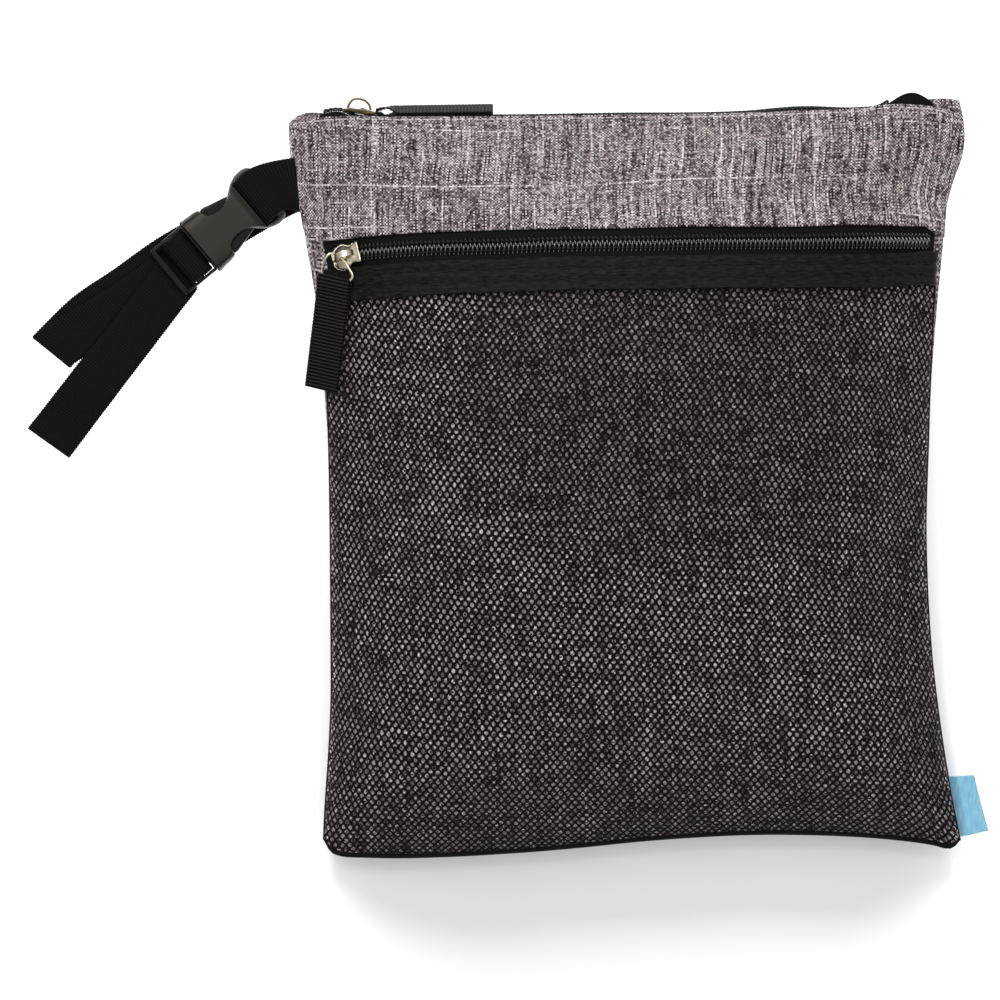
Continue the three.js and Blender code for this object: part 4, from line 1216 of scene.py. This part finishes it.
# %% Sweeping webbing
WEB_COLUMNS = 12
WEB_STEP = 0.275  # between the rows of its grid
WEB_AHEAD = 0.2  # a small step along it, to find its direction
WEB_RIMS = (0.03, 0.6)  # share across and length over which its edges and ends are rounded
WEB_WIDE = 20  # nominal width, for the cloth coordinates
FLOOR_CLEAR = 0.05


def heading(degrees):
    angle = np.radians(degrees)
    return np.array([math.cos(angle), math.sin(angle), 0.0])


def swept(stations, thick, rib, rib_high, notch):
    """stations are rows of a middle, a direction across and half the width."""
    middles = np.array([station[0] for station in stations], float)
    sides = np.array([station[1] for station in stations], float)
    halves = np.array([station[2] for station in stations], float)
    lengths = run_lengths(middles)
    rows = np.column_stack([lengths, middles, sides, halves])
    readers = [curve(rows, column) for column in range(1, rows.shape[1])]

    def surface(s, t, level):
        d = t * lengths[-1]
        middle = np.stack([read(d) for read in readers[:3]], axis=-1)
        middle[:, 2] = np.maximum(middle[:, 2], thick / 2 + FLOOR_CLEAR)
        ahead = np.stack([read(d + WEB_AHEAD) - read(d - WEB_AHEAD) for read in readers[:3]], axis=-1)
        side = unit(np.stack([read(d) for read in readers[3:6]], axis=-1))
        normal = unit(np.cross(side, ahead))
        wave = np.cos(2 * np.pi * d / rib)
        half = readers[6](d) - notch * (1 - wave) / 2
        high = thick / 2 - rib_high * (1 - wave) / 2
        points = middle + side * (half * (2 * s - 1))[:, None] + normal * (high * level)[:, None]
        return points, np.stack([WEB_WIDE * s, d], axis=-1)

    rims = (WEB_RIMS[0], WEB_RIMS[1] / lengths[-1])
    piece = two_sided((WEB_COLUMNS, int(lengths[-1] / WEB_STEP)), rims, surface)
    face_outward(piece)
    return piece, lengths[-1]


# %% The long strap
STRAP_WEB = {"thick": 1.4, "half": 10.2, "rib": STRAP_RIB / MM, "rib_high": 0.15, "notch": 0.3}
BUCKLE = {"x": -187.9, "y": 86, "turn": 40}
# x, y, z, direction across in degrees, half width
STRAP_OUT = (
    (-135, 121.8, 7.6, 99.5, 10.6),
    (-141, 119.3, 2.6, 102, 10.5),
    (-145, 117, 0.8, 107, 10.2),
    (-150, 114.2, 0.7, 115, 10),
    (-157, 110.1, 0.7, 121, 10),
    (-174.6, 99.7, 0.7, 122, 10),
    (-189.6, 90.7, 0.7, 125, 10),
    (-204.6, 80, 0.7, 129, 10),
    (-220.4, 69.4, 0.7, 134, 10),
    (-230.2, 60.3, 0.7, 139, 10),
)
STRAP_FOLD = {"x": -235.7, "y": 54.3, "across": 141, "low": 0.7, "high": 2.4, "steps": 6}
STRAP_BACK = ((-226, 60.6, 2.4, 132, 10), (-214.2, 67.7, 2.4, 127, 10), (-197, 78.8, 2.4, 128, 10))
# distance along the buckle's axis from its end bar, height, slip to the lower side, direction across
LADDER = (
    (2, 2.4, 0, 130),
    (11, 2.4, 0, 130),
    (13.5, 3.3, 0, 130),
    (14.2, 5, 0, 130),
    (14.1, 7.6, 0, 130),
    (12.9, 8.9, 0, 130),
    (9.4, 9.2, 0, 130),
    (5.8, 8.9, 0, 130),
    (4.7, 7.6, 0.2, 131),
    (4.5, 5.9, 0.8, 134),
    (3.2, 4.5, 2.4, 138),
    (0, 4.1, 3.4, 143),
)
STRAP_TAIL = (
    (-188.8, 79.1, 4.1, 143, 10),
    (-195.2, 70.9, 4.1, 143, 10.1),
    (-201.9, 62.3, 4.1, 143, 10.2),
    (-211.2, 50.3, 4.1, 143, 10.3),
    (-218.3, 41.1, 4, 143.5, 10.4),
    (-226.5, 30.6, 2.2, 144, 10.5),
    (-232.6, 22.7, 0.9, 144, 10.6),
    (-237.8, 16, 0.7, 144.5, 10.7),
)


def station(row):
    return row[:3], heading(row[3]), row[4]


def on_buckle(distance, z, slip, across):
    """A station of the webbing in the buckle, at a distance along its axis."""
    x, y, _ = heading(BUCKLE["turn"]) * distance - heading(BUCKLE["turn"] + 90) * slip
    return (BUCKLE["x"] + x, BUCKLE["y"] + y, z), heading(across), STRAP_WEB["half"]


def fold_stations():
    radius = (STRAP_FOLD["high"] - STRAP_FOLD["low"]) / 2
    middle = np.array([STRAP_FOLD["x"], STRAP_FOLD["y"], STRAP_FOLD["low"] + radius])
    out = heading(STRAP_FOLD["across"] + 90)
    turns = np.linspace(0, np.pi, STRAP_FOLD["steps"] + 1)
    up = np.array([0, 0, 1.0])
    side = heading(STRAP_FOLD["across"])
    bend = [middle + radius * (out * math.sin(a) - up * math.cos(a)) for a in turns]
    return [(point, side, STRAP_WEB["half"]) for point in bend]


def web_ribs():
    return STRAP_WEB["thick"], STRAP_WEB["rib"], STRAP_WEB["rib_high"], STRAP_WEB["notch"]


strap_stations = [station(row) for row in STRAP_OUT]
strap_stations += fold_stations()
strap_stations += [station(row) for row in STRAP_BACK]
strap_stations += [on_buckle(*row) for row in LADDER]
strap_stations += [station(row) for row in STRAP_TAIL]
strap, strap_length = swept(strap_stations, *web_ribs())
dress(strap, "long_strap", WEBBING, "webbing", "strap_long")
print("long strap mm", round(strap_length))

# %% The short loop
LOOP_SEAM = {"x": -134.6, "y": 121.8, "across": 99.5, "half": 11.5, "high": 10.3, "low": 8.8}
LOOP_BAR = {"along": 50.3, "z": 6.3, "radius": 1.2}
# along the buckle, where the loop bends round the bar and where it is clear of it, and its slip and width
LOOP_WEB = {"bend": 45.9, "clear": 52.4, "slip": -0.35, "half": 11.1, "steps": 6}


def loop_stations():
    turn = LOOP_BAR["radius"] * math.sqrt(2) + GAP + STRAP_WEB["thick"] / 2
    side = heading(LOOP_SEAM["across"])
    angles = np.linspace(np.pi / 2, 3 * np.pi / 2, LOOP_WEB["steps"] + 1)

    def at_seam(z):
        return (LOOP_SEAM["x"], LOOP_SEAM["y"], z), side, LOOP_SEAM["half"]

    def on_bar(distance, rise):
        middle, side, _ = on_buckle(distance, LOOP_BAR["z"] + rise, LOOP_WEB["slip"], BUCKLE["turn"] + 90)
        return middle, side, LOOP_WEB["half"]

    bend = [on_bar(LOOP_WEB["bend"] + turn * math.cos(a), turn * math.sin(a)) for a in angles]
    leave = on_bar(LOOP_WEB["clear"], turn)
    come = on_bar(LOOP_WEB["clear"], -turn)
    return [at_seam(LOOP_SEAM["high"]), leave, *bend, come, at_seam(LOOP_SEAM["low"])]


loop, loop_length = swept(loop_stations(), *web_ribs())
dress(loop, "short_loop", WEBBING, "webbing", "strap_short")
print("short loop mm", round(loop_length))

# %% [markdown]
# ### Pull tabs
# Each pull is a length of narrower webbing folded round the wide end of its bail, with its two cut ends
# lying together. Its ribs are coarser than the strap's.

# %% Pull tabs
TAB = {"layer": 1.1, "rib": TAB_RIB / MM, "rib_high": 0.35, "notch": 0.2}
POCKET_PULL = {
    "loop": (-119.6, 81.9, 28.2),
    "end": (-125, 37.6, 26.4),
    "across": -13.5,
    "roll": 24,
    "half": 7.4,
}
TOP_PULL = {"loop": (-102, 151.8, 8.7), "rise": 0.015, "lean": 17, "lean_from": (1, 9), "half": 6.75}
TAB_CLOSE = 0.7  # from the middle of each layer to the middle of the tab
TAB_BEND = (135, 180, 225)  # degrees round the fold
# distance from the fold, distance of each layer from the middle of the tab, ending at the fold
POCKET_LAYERS = ((44.6, TAB_CLOSE), (22, TAB_CLOSE), (12, TAB_CLOSE), (6, 0.8), (2.2, 1.45), (0, 1.45))
MOUTH_LAYERS = (
    (47, TAB_CLOSE),
    (24, TAB_CLOSE),
    (12, TAB_CLOSE),
    (8, 0.75),
    (6.2, 1.25),
    (4, 1.6),
    (2, 1.35),
    (0.6, 1.0),
    (0, 0.85),
)


def pull_tab(loop_at, ahead, side, half, layers):
    """Two layers of webbing joined by a round fold. side gives the direction across at a distance."""

    def spot(forward, out):
        across = side(max(forward, 0))
        return loop_at + ahead * forward + unit(np.cross(across, ahead)) * out, across, half

    fold = layers[-1][1]
    upper = [spot(forward, out) for forward, out in layers]
    lower = [spot(forward, -out) for forward, out in reversed(layers)]
    bend = [spot(fold * math.cos(a), fold * math.sin(a)) for a in np.radians(TAB_BEND)]
    return swept([*upper, *bend, *lower], TAB["layer"], TAB["rib"], TAB["rib_high"], TAB["notch"])[0]


def pocket_side(forward):
    roll = math.radians(POCKET_PULL["roll"])
    return heading(POCKET_PULL["across"]) * math.cos(roll) + np.array([0, 0, math.sin(roll)])


def mouth_side(forward):
    lean = math.radians(TOP_PULL["lean"]) * smooth(forward, *TOP_PULL["lean_from"])
    return np.array([0, -math.sin(lean), math.cos(lean)])


pocket_loop, pocket_end = np.array(POCKET_PULL["loop"]), np.array(POCKET_PULL["end"])
pocket_ahead = unit(pocket_end - pocket_loop)
pocket_tab = pull_tab(pocket_loop, pocket_ahead, pocket_side, POCKET_PULL["half"], POCKET_LAYERS)
dress(pocket_tab, "pocket_tab", TAB_WEBBING, "webbing", "pocket_pull_tab")
mouth_loop = np.array(TOP_PULL["loop"])
mouth_ahead = unit(np.array([1.0, TOP_PULL["rise"], 0]))
mouth_tab = pull_tab(mouth_loop, mouth_ahead, mouth_side, TOP_PULL["half"], MOUTH_LAYERS)
dress(mouth_tab, "mouth_tab", TAB_WEBBING, "webbing", "top_pull_tab")

# %% [markdown]
# ## Sliders and bails
# A slider is a zinc casting: a shield with wide shoulders, a waist and a square nose, doubled above and
# below the chain, with a bridge on top for the bail. Plates are made as sheets are, from two grids, with
# the outline read from a short table. The bail is round wire bent to a closed ring, so it is a torus whose
# points are moved along the ring.

# %% Slider parts
# distance along the slider from its middle, half width
SLIDER_OUTLINE = (
    (-5.9, 1.6),
    (-5.4, 2.9),
    (-4.2, 4.1),
    (-2.6, 4.8),
    (-1.2, 5.0),
    (0.2, 4.6),
    (1.6, 3.8),
    (2.6, 3.5),
    (3.6, 3.7),
    (4.6, 4.0),
    (5.6, 4.0),
    (5.9, 3.7),
)
PLATE = {"thick": 1.3, "dome": 0.7, "under": 0.5, "lower_thick": 0.9, "scale": 1.1}
PLATE_DOME = {"middle": -0.4, "reach": 5.5, "ease": 2.5}  # along the slider, how far a plate is domed
# distance along, height above the plate
BRIDGE = ((-4.6, -0.4), (-4.3, 1.8), (-2.9, 4), (-0.6, 4.5), (1.8, 3.8), (3.5, 1.9), (3.9, -0.4))
BRIDGE_SIZE = {"half": 1.15, "thick": 0.9, "lift": 0.2}
WIRE = {"pocket": 1.2, "mouth": 0.9}
WIRE_SIDES = 12
WIRE_STEPS = 12  # from one point of a bail to the next
WIRE_UP = (0.0, 0.31, 0.95)  # a direction that neither bail runs along
slider_half = curve(SLIDER_OUTLINE, 1)


def ends_of(rows):
    """The first and last value in a table's first column."""
    return rows[0][0], rows[-1][0]


def slider_plate(low, high, dome):
    def surface(s, t, level):
        x = mix(*ends_of(SLIDER_OUTLINE), t)
        half = slider_half(x)
        y = half * (1 - 2 * s)
        inside = PLATE_DOME["reach"] - np.abs(x - PLATE_DOME["middle"])
        domed = high + dome * (1 - (y / half) ** 2) * smooth(inside, 0, PLATE_DOME["ease"])
        z = mix(low, domed, (level + 1) / 2)
        return np.stack([x, y, z], axis=-1), np.stack([x, y], axis=-1)

    piece = two_sided((24, 36), (0.08, 0.04), surface)
    face_outward(piece)
    return piece


def slider_bridge(base):
    path = [((x, 0, base + z), (0, 1, 0), BRIDGE_SIZE["half"]) for x, z in BRIDGE]
    return swept(path, BRIDGE_SIZE["thick"], rib=1.0, rib_high=0.0, notch=0.0)[0]


def slider(origin, axes, turn, base):
    """Moves both plates and the bridge from the slider's own axes onto the chain."""
    top = base + PLATE["thick"]
    pieces = [
        slider_plate(base, top, PLATE["dome"]),
        slider_plate(-PLATE["under"] - PLATE["lower_thick"], -PLATE["under"], 0.0),
        slider_bridge(top + BRIDGE_SIZE["lift"]),
    ]
    piece = joined(pieces)
    cosine, sine, _ = heading(turn)
    x, y, z = (positions(piece) / MM * (PLATE["scale"], PLATE["scale"], 1)).T
    turned = np.stack([x * cosine - y * sine, x * sine + y * cosine, z], axis=-1)
    place(piece, origin + turned @ axes)
    return piece


def wire_ring(points, thick):
    """Round wire through a closed ring of points."""
    ring = np.array(points, float)
    looped = np.concatenate([ring[-2:], ring, ring[:3]])
    rows = np.column_stack([np.arange(-2, len(ring) + 3), looped])
    t = np.linspace(0, len(ring), WIRE_STEPS * len(ring), endpoint=False)
    path = np.stack([curve(rows, column)(t) for column in (1, 2, 3)], axis=-1)
    ahead = unit(np.roll(path, -1, axis=0) - np.roll(path, 1, axis=0))
    side = unit(np.cross(ahead, WIRE_UP))
    up = np.cross(side, ahead)
    bpy.ops.mesh.primitive_torus_add(
        major_segments=len(path), minor_segments=WIRE_SIDES, generate_uvs=False
    )
    piece = bpy.context.object
    angles = np.linspace(0, 2 * np.pi, WIRE_SIDES, endpoint=False)
    ring_points = path[:, None] + thick / 2 * (
        np.cos(angles)[None, :, None] * side[:, None] + np.sin(angles)[None, :, None] * up[:, None]
    )
    place(piece, ring_points.reshape(-1, 3))
    face_outward(piece)
    return piece


# %% Sliders and bails
POCKET_SLIDER = {"x": -112.9, "y": 93.0, "turn": 14, "drop": 1.2}
MOUTH_SLIDER = {"x": -110.2, "y": 150.0, "turn": 0}
SLIDER_BASE = COIL["high"] + 0.15  # clear of the coils
CREASE = 40  # degrees, above which an edge of a hard piece stays sharp
# the pocket's bail round the bridge and through the fold of its tab: x, y
POCKET_RING = (
    (-118.4, 91.8),
    (-121.2, 92.9),
    (-122.9, 91.4),
    (-124, 88.2),
    (-124.4, 85.1),
    (-123.3, 83),
    (-119.2, 82),
    (-114.7, 81.4),
    (-112.7, 82.4),
    (-112.2, 84.3),
    (-113.7, 87.1),
    (-115.3, 89.6),
    (-116.7, 91.2),
)
RING_RISE = (84, 92)  # y between which the pocket's bail rises from the tab to the slider
# the mouth's bail, seen on edge: x, y, half its width
MOUTH_RING = ((-108.6, 153, 0.9), (-105.6, 151.9, 2.6), (-102.6, 151.2, 4.4), (-100.9, 151.3, 3.4))


def across(x, y):
    return (x - left_seam(y)) / (right_seam(y) - left_seam(y))


u = np.array([across(POCKET_SLIDER["x"], POCKET_SLIDER["y"])])
chain_at = front(u, along(u, chain_middle(u)), TAPE_TOP)[0]
chain_axes = axes_on_front(u, chain_middle)[0]
slider_at = chain_at - chain_axes[1] * POCKET_SLIDER["drop"]
casting = slider(slider_at, chain_axes, POCKET_SLIDER["turn"], SLIDER_BASE)
dress(casting, "pocket_slider", NICKEL, "nickel", "pocket_zip_slider", crease=CREASE)
seat = chain_at[2] + SLIDER_BASE + PLATE["thick"] + WIRE["pocket"]
slope = math.tan(math.radians(POCKET_PULL["roll"]))


def bail_height(x, y):
    """The pocket's bail lies in the tilted fold of its tab and rises to the slider."""
    return mix(pocket_loop[2] + slope * (x - pocket_loop[0]), seat, smooth(y, *RING_RISE))


ring = [(x, y, bail_height(x, y)) for x, y in POCKET_RING]
dress(wire_ring(ring, WIRE["pocket"]), "pocket_bail", NICKEL, "nickel", "pocket_pull_bail")

u = np.array([across(MOUTH_SLIDER["x"], MOUTH_SLIDER["y"])])
casting = slider(mouth_middle(u)[0], axes_on_mouth(u)[0], MOUTH_SLIDER["turn"], SLIDER_BASE)
# the mouth's slider takes the darker copy of the nickel, which is painted shade
dress(casting, "mouth_slider", NICKEL_PAINTED_SHADE, "nickel", "top_zip_slider", crease=CREASE)
ring = [(x, y, mouth_loop[2] + half) for x, y, half in MOUTH_RING]
ring += [(x, y, mouth_loop[2] - half) for x, y, half in reversed(MOUTH_RING)]
dress(wire_ring(ring, WIRE["mouth"]), "mouth_bail", NICKEL, "nickel", "top_pull_bail")

# %% [markdown]
# ## The label
# A short loop of blue satin ribbon, sewn flat into the right seam. Its place for words is left plain.

# %% The label
LABEL = {"top": -120.6, "foot": -145.5, "top_reach": 10, "foot_reach": 11.2, "thick": 1.0, "dip": 4}
LABEL_RISE = {"top": 0.07, "foot": 0.24}  # how steeply its ends rise to the right
LABEL_WAVE = {"high": 0.35, "half_waves": 2.4}
LABEL_DIP = (-0.5, 3.4)  # out from the seam, where it comes up from its dip


def label_surface(s, t, level):
    y = mix(LABEL["foot"], LABEL["top"], t)
    inner = right_seam(y) + 1.5 * GAP
    x = inner + s * mix(LABEL["foot_reach"], LABEL["top_reach"], t)
    wave = LABEL_WAVE["high"] * np.sin(np.pi * s) * np.cos(LABEL_WAVE["half_waves"] * np.pi * t)
    sag = wave - LABEL["dip"] * (1 - smooth(x - inner, *LABEL_DIP))
    z = seam_lift(y) - GAP / 2 - LABEL["thick"] / 2 + sag + level * LABEL["thick"] / 2
    rise = mix(LABEL_RISE["foot"], LABEL_RISE["top"], t)
    return np.stack([x, y + (x - inner) * rise, z], axis=-1), np.stack([x, y], axis=-1)


label = two_sided((24, 40), (0.05, 0.02), label_surface)
dress(label, "side_tag", LABEL_SATIN, "label_cloth", "side_label")

# %% [markdown]
# ## The buckle
# A side release buckle of moulded acetal. Each half is a plate with a rounded rim, so it is made as a
# sheet is, from two grids, with its outline read from a short table. Booleans then cut the openings.

# %% Buckle helpers
BUCKLE_BASE = 1.8
DOME = {"half": 13, "power": 6}  # how a domed top falls, by its whole dome at this half width
CUT_TOP = 12  # above the whole buckle
CUT_PAST = 1  # how far a cutting block goes past what it cuts


def modify(piece, kind, **settings):
    select_only(piece)
    bpy.ops.object.modifier_add(type=kind)
    modifier = piece.modifiers[-1]
    for name, value in settings.items():
        setattr(modifier, name, value)
    bpy.ops.object.modifier_apply(modifier=modifier.name)


def in_buckle(points):
    """Moves points from the buckle's own axes to the bag's."""
    ahead, side = heading(BUCKLE["turn"]), heading(BUCKLE["turn"] + 90)
    x, y, z = points.T
    return np.stack(
        [
            BUCKLE["x"] + x * ahead[0] + y * side[0],
            BUCKLE["y"] + x * ahead[1] + y * side[1],
            z,
        ],
        axis=-1,
    )


def moulded_plate(span, low_edge, high_edge, base, top, grid, rims, dome=0.0):
    """A plate along the buckle's axis between two edges. Its heights may change along it."""

    def surface(s, t, level):
        x = mix(*span, t)
        y = -mix(low_edge(x), high_edge(x), s)
        under, over = at(base, x), at(top, x) - dome * (y / DOME["half"]) ** DOME["power"]
        z = (under + over) / 2 + level * (over - under) / 2
        return in_buckle(np.stack([x, y, z], axis=-1)), np.stack([x, y], axis=-1)

    piece = two_sided(grid, rims, surface)
    face_outward(piece)
    return piece


def block(low, high):
    """A box given in the buckle's own axes, for a boolean."""
    bpy.ops.mesh.primitive_cube_add(size=1, calc_uvs=False)
    piece = bpy.context.object
    place(piece, in_buckle(mix(np.array(low), np.array(high), positions(piece) + 0.5)))
    return piece


def combine(piece, tool, operation):
    modify(piece, "BOOLEAN", object=tool, operation=operation, solver="EXACT")
    bpy.data.objects.remove(tool)


# %% The catch half
# distance along the buckle, half width
CATCH_OUTLINE = (
    (16, 13.0),
    (20, 12.7),
    (24.6, 12.1),
    (25.6, 11.4),
    (26.4, 9.0),
    (27.6, 7.7),
    (29.6, 6.9),
    (32, 6.6),
    (34.5, 6.8),
    (37, 7.8),
    (39.5, 9.6),
    (42, 11.5),
    (44.3, 12.7),
    (47, 13.4),
    (50, 13.3),
    (51.9, 12.6),
    (52.9, 11.4),
)
CATCH_DOME = 2.8  # how far the top falls towards its sides
SLIVER = 2e-5  # metres
CATCH_EAR = {"start": 39, "end": 45, "base": 3.5, "top": 8.7, "body_top": 10.4}
POUCH = {"start": 14, "end": 39, "half": 11.7, "base": 4.6, "top": 8.6}
WEB_SLOT = {"start": 42.8, "half": 11.5}
catch_half = curve(CATCH_OUTLINE, 1)


def catch_base(x):
    return mix(BUCKLE_BASE, CATCH_EAR["base"], smooth(x, CATCH_EAR["start"], CATCH_EAR["end"]))


def catch_top(x):
    return mix(CATCH_EAR["body_top"], CATCH_EAR["top"], smooth(x, CATCH_EAR["start"], CATCH_EAR["end"]))


catch = moulded_plate(
    ends_of(CATCH_OUTLINE),
    lambda x: -catch_half(x),
    catch_half,
    catch_base,
    catch_top,
    grid=(40, 90),
    rims=(0.05, 0.02),
    dome=CATCH_DOME,
)
bar_low = LOOP_BAR["z"] - LOOP_BAR["radius"]
bar_high = LOOP_BAR["z"] + LOOP_BAR["radius"]
bar_start = LOOP_BAR["along"] - LOOP_BAR["radius"]
bar_end = LOOP_BAR["along"] + 2 * LOOP_BAR["radius"]
half = WEB_SLOT["half"]
combine(
    catch,
    block((POUCH["start"], -POUCH["half"], POUCH["base"]), (POUCH["end"], POUCH["half"], POUCH["top"])),
    "DIFFERENCE",
)
slot = block((WEB_SLOT["start"], -half, 0), (bar_end, half, CUT_TOP))
past = half + CUT_PAST
combine(slot, block((bar_start, -past, bar_low), (bar_end + CUT_PAST, past, bar_high)), "DIFFERENCE")
combine(catch, slot, "DIFFERENCE")
# a boolean leaves slivers, which are made triangles here and taken out
edit(
    catch,
    (bpy.ops.mesh.quads_convert_to_tris, {"quad_method": "BEAUTY", "ngon_method": "BEAUTY"}),
    (bpy.ops.mesh.dissolve_degenerate, {"threshold": SLIVER}),
)
dress(catch, "catch_half", ACETAL, "buckle_plastic", "buckle_female", crease=CREASE)

# %% The plug half
FRAME_BASE = 5.1
FRAME_TOP = 8.1
# distance along the buckle, half width
FRAME_OUTLINE = (
    (-1.3, 10.2),
    (-1, 10.9),
    (-0.3, 11.5),
    (1, 11.75),
    (4, 11.75),
    (13, 11.75),
    (15.8, 11.7),
    (16.5, 11),
    (17.6, 10.9),
)
WINDOWS = ((1.3, 6.6), (10.2, 15.4))
WINDOW_HALF = 10.5
# distance along, outer and inner edge of a prong
PRONG = (
    (16, 10.6, 7.4),
    (24.5, 10.6, 7),
    (26.6, 11.4, 6),
    (31, 10.5, 5.8),
    (36, 9.3, 5.8),
    (38.4, 8.6, 6.4),
)
PRONG_THINNER = 0.2  # than the frame, on each side
frame_half = curve(FRAME_OUTLINE, 1)
prong_outer = curve(PRONG, 1)
prong_inner = curve(PRONG, 2)

plug = moulded_plate(
    ends_of(FRAME_OUTLINE),
    lambda x: -frame_half(x),
    frame_half,
    FRAME_BASE,
    FRAME_TOP,
    grid=(30, 40),
    rims=(0.03, 0.04),
)
for start, end in WINDOWS:
    combine(plug, block((start, -WINDOW_HALF, 0), (end, WINDOW_HALF, CUT_TOP)), "DIFFERENCE")
for side in (1, -1):
    prong = moulded_plate(
        ends_of(PRONG),
        lambda x: side * prong_inner(x),
        lambda x: side * prong_outer(x),
        FRAME_BASE + PRONG_THINNER,
        FRAME_TOP - PRONG_THINNER,
        grid=(12, 50),
        rims=(0.15, 0.02),
    )
    combine(plug, prong, "UNION")
# the plug half takes the darker copy of the acetal, which is painted shade
dress(plug, "plug_half", ACETAL_PAINTED_SHADE, "buckle_plastic", "buckle_male", crease=CREASE)

# %% [markdown]
# ## The front's cut
# The size the front was cut to, measured along the cloth, is printed.

# %% Sheets
print("front cut mm", np.round(cut, 1))
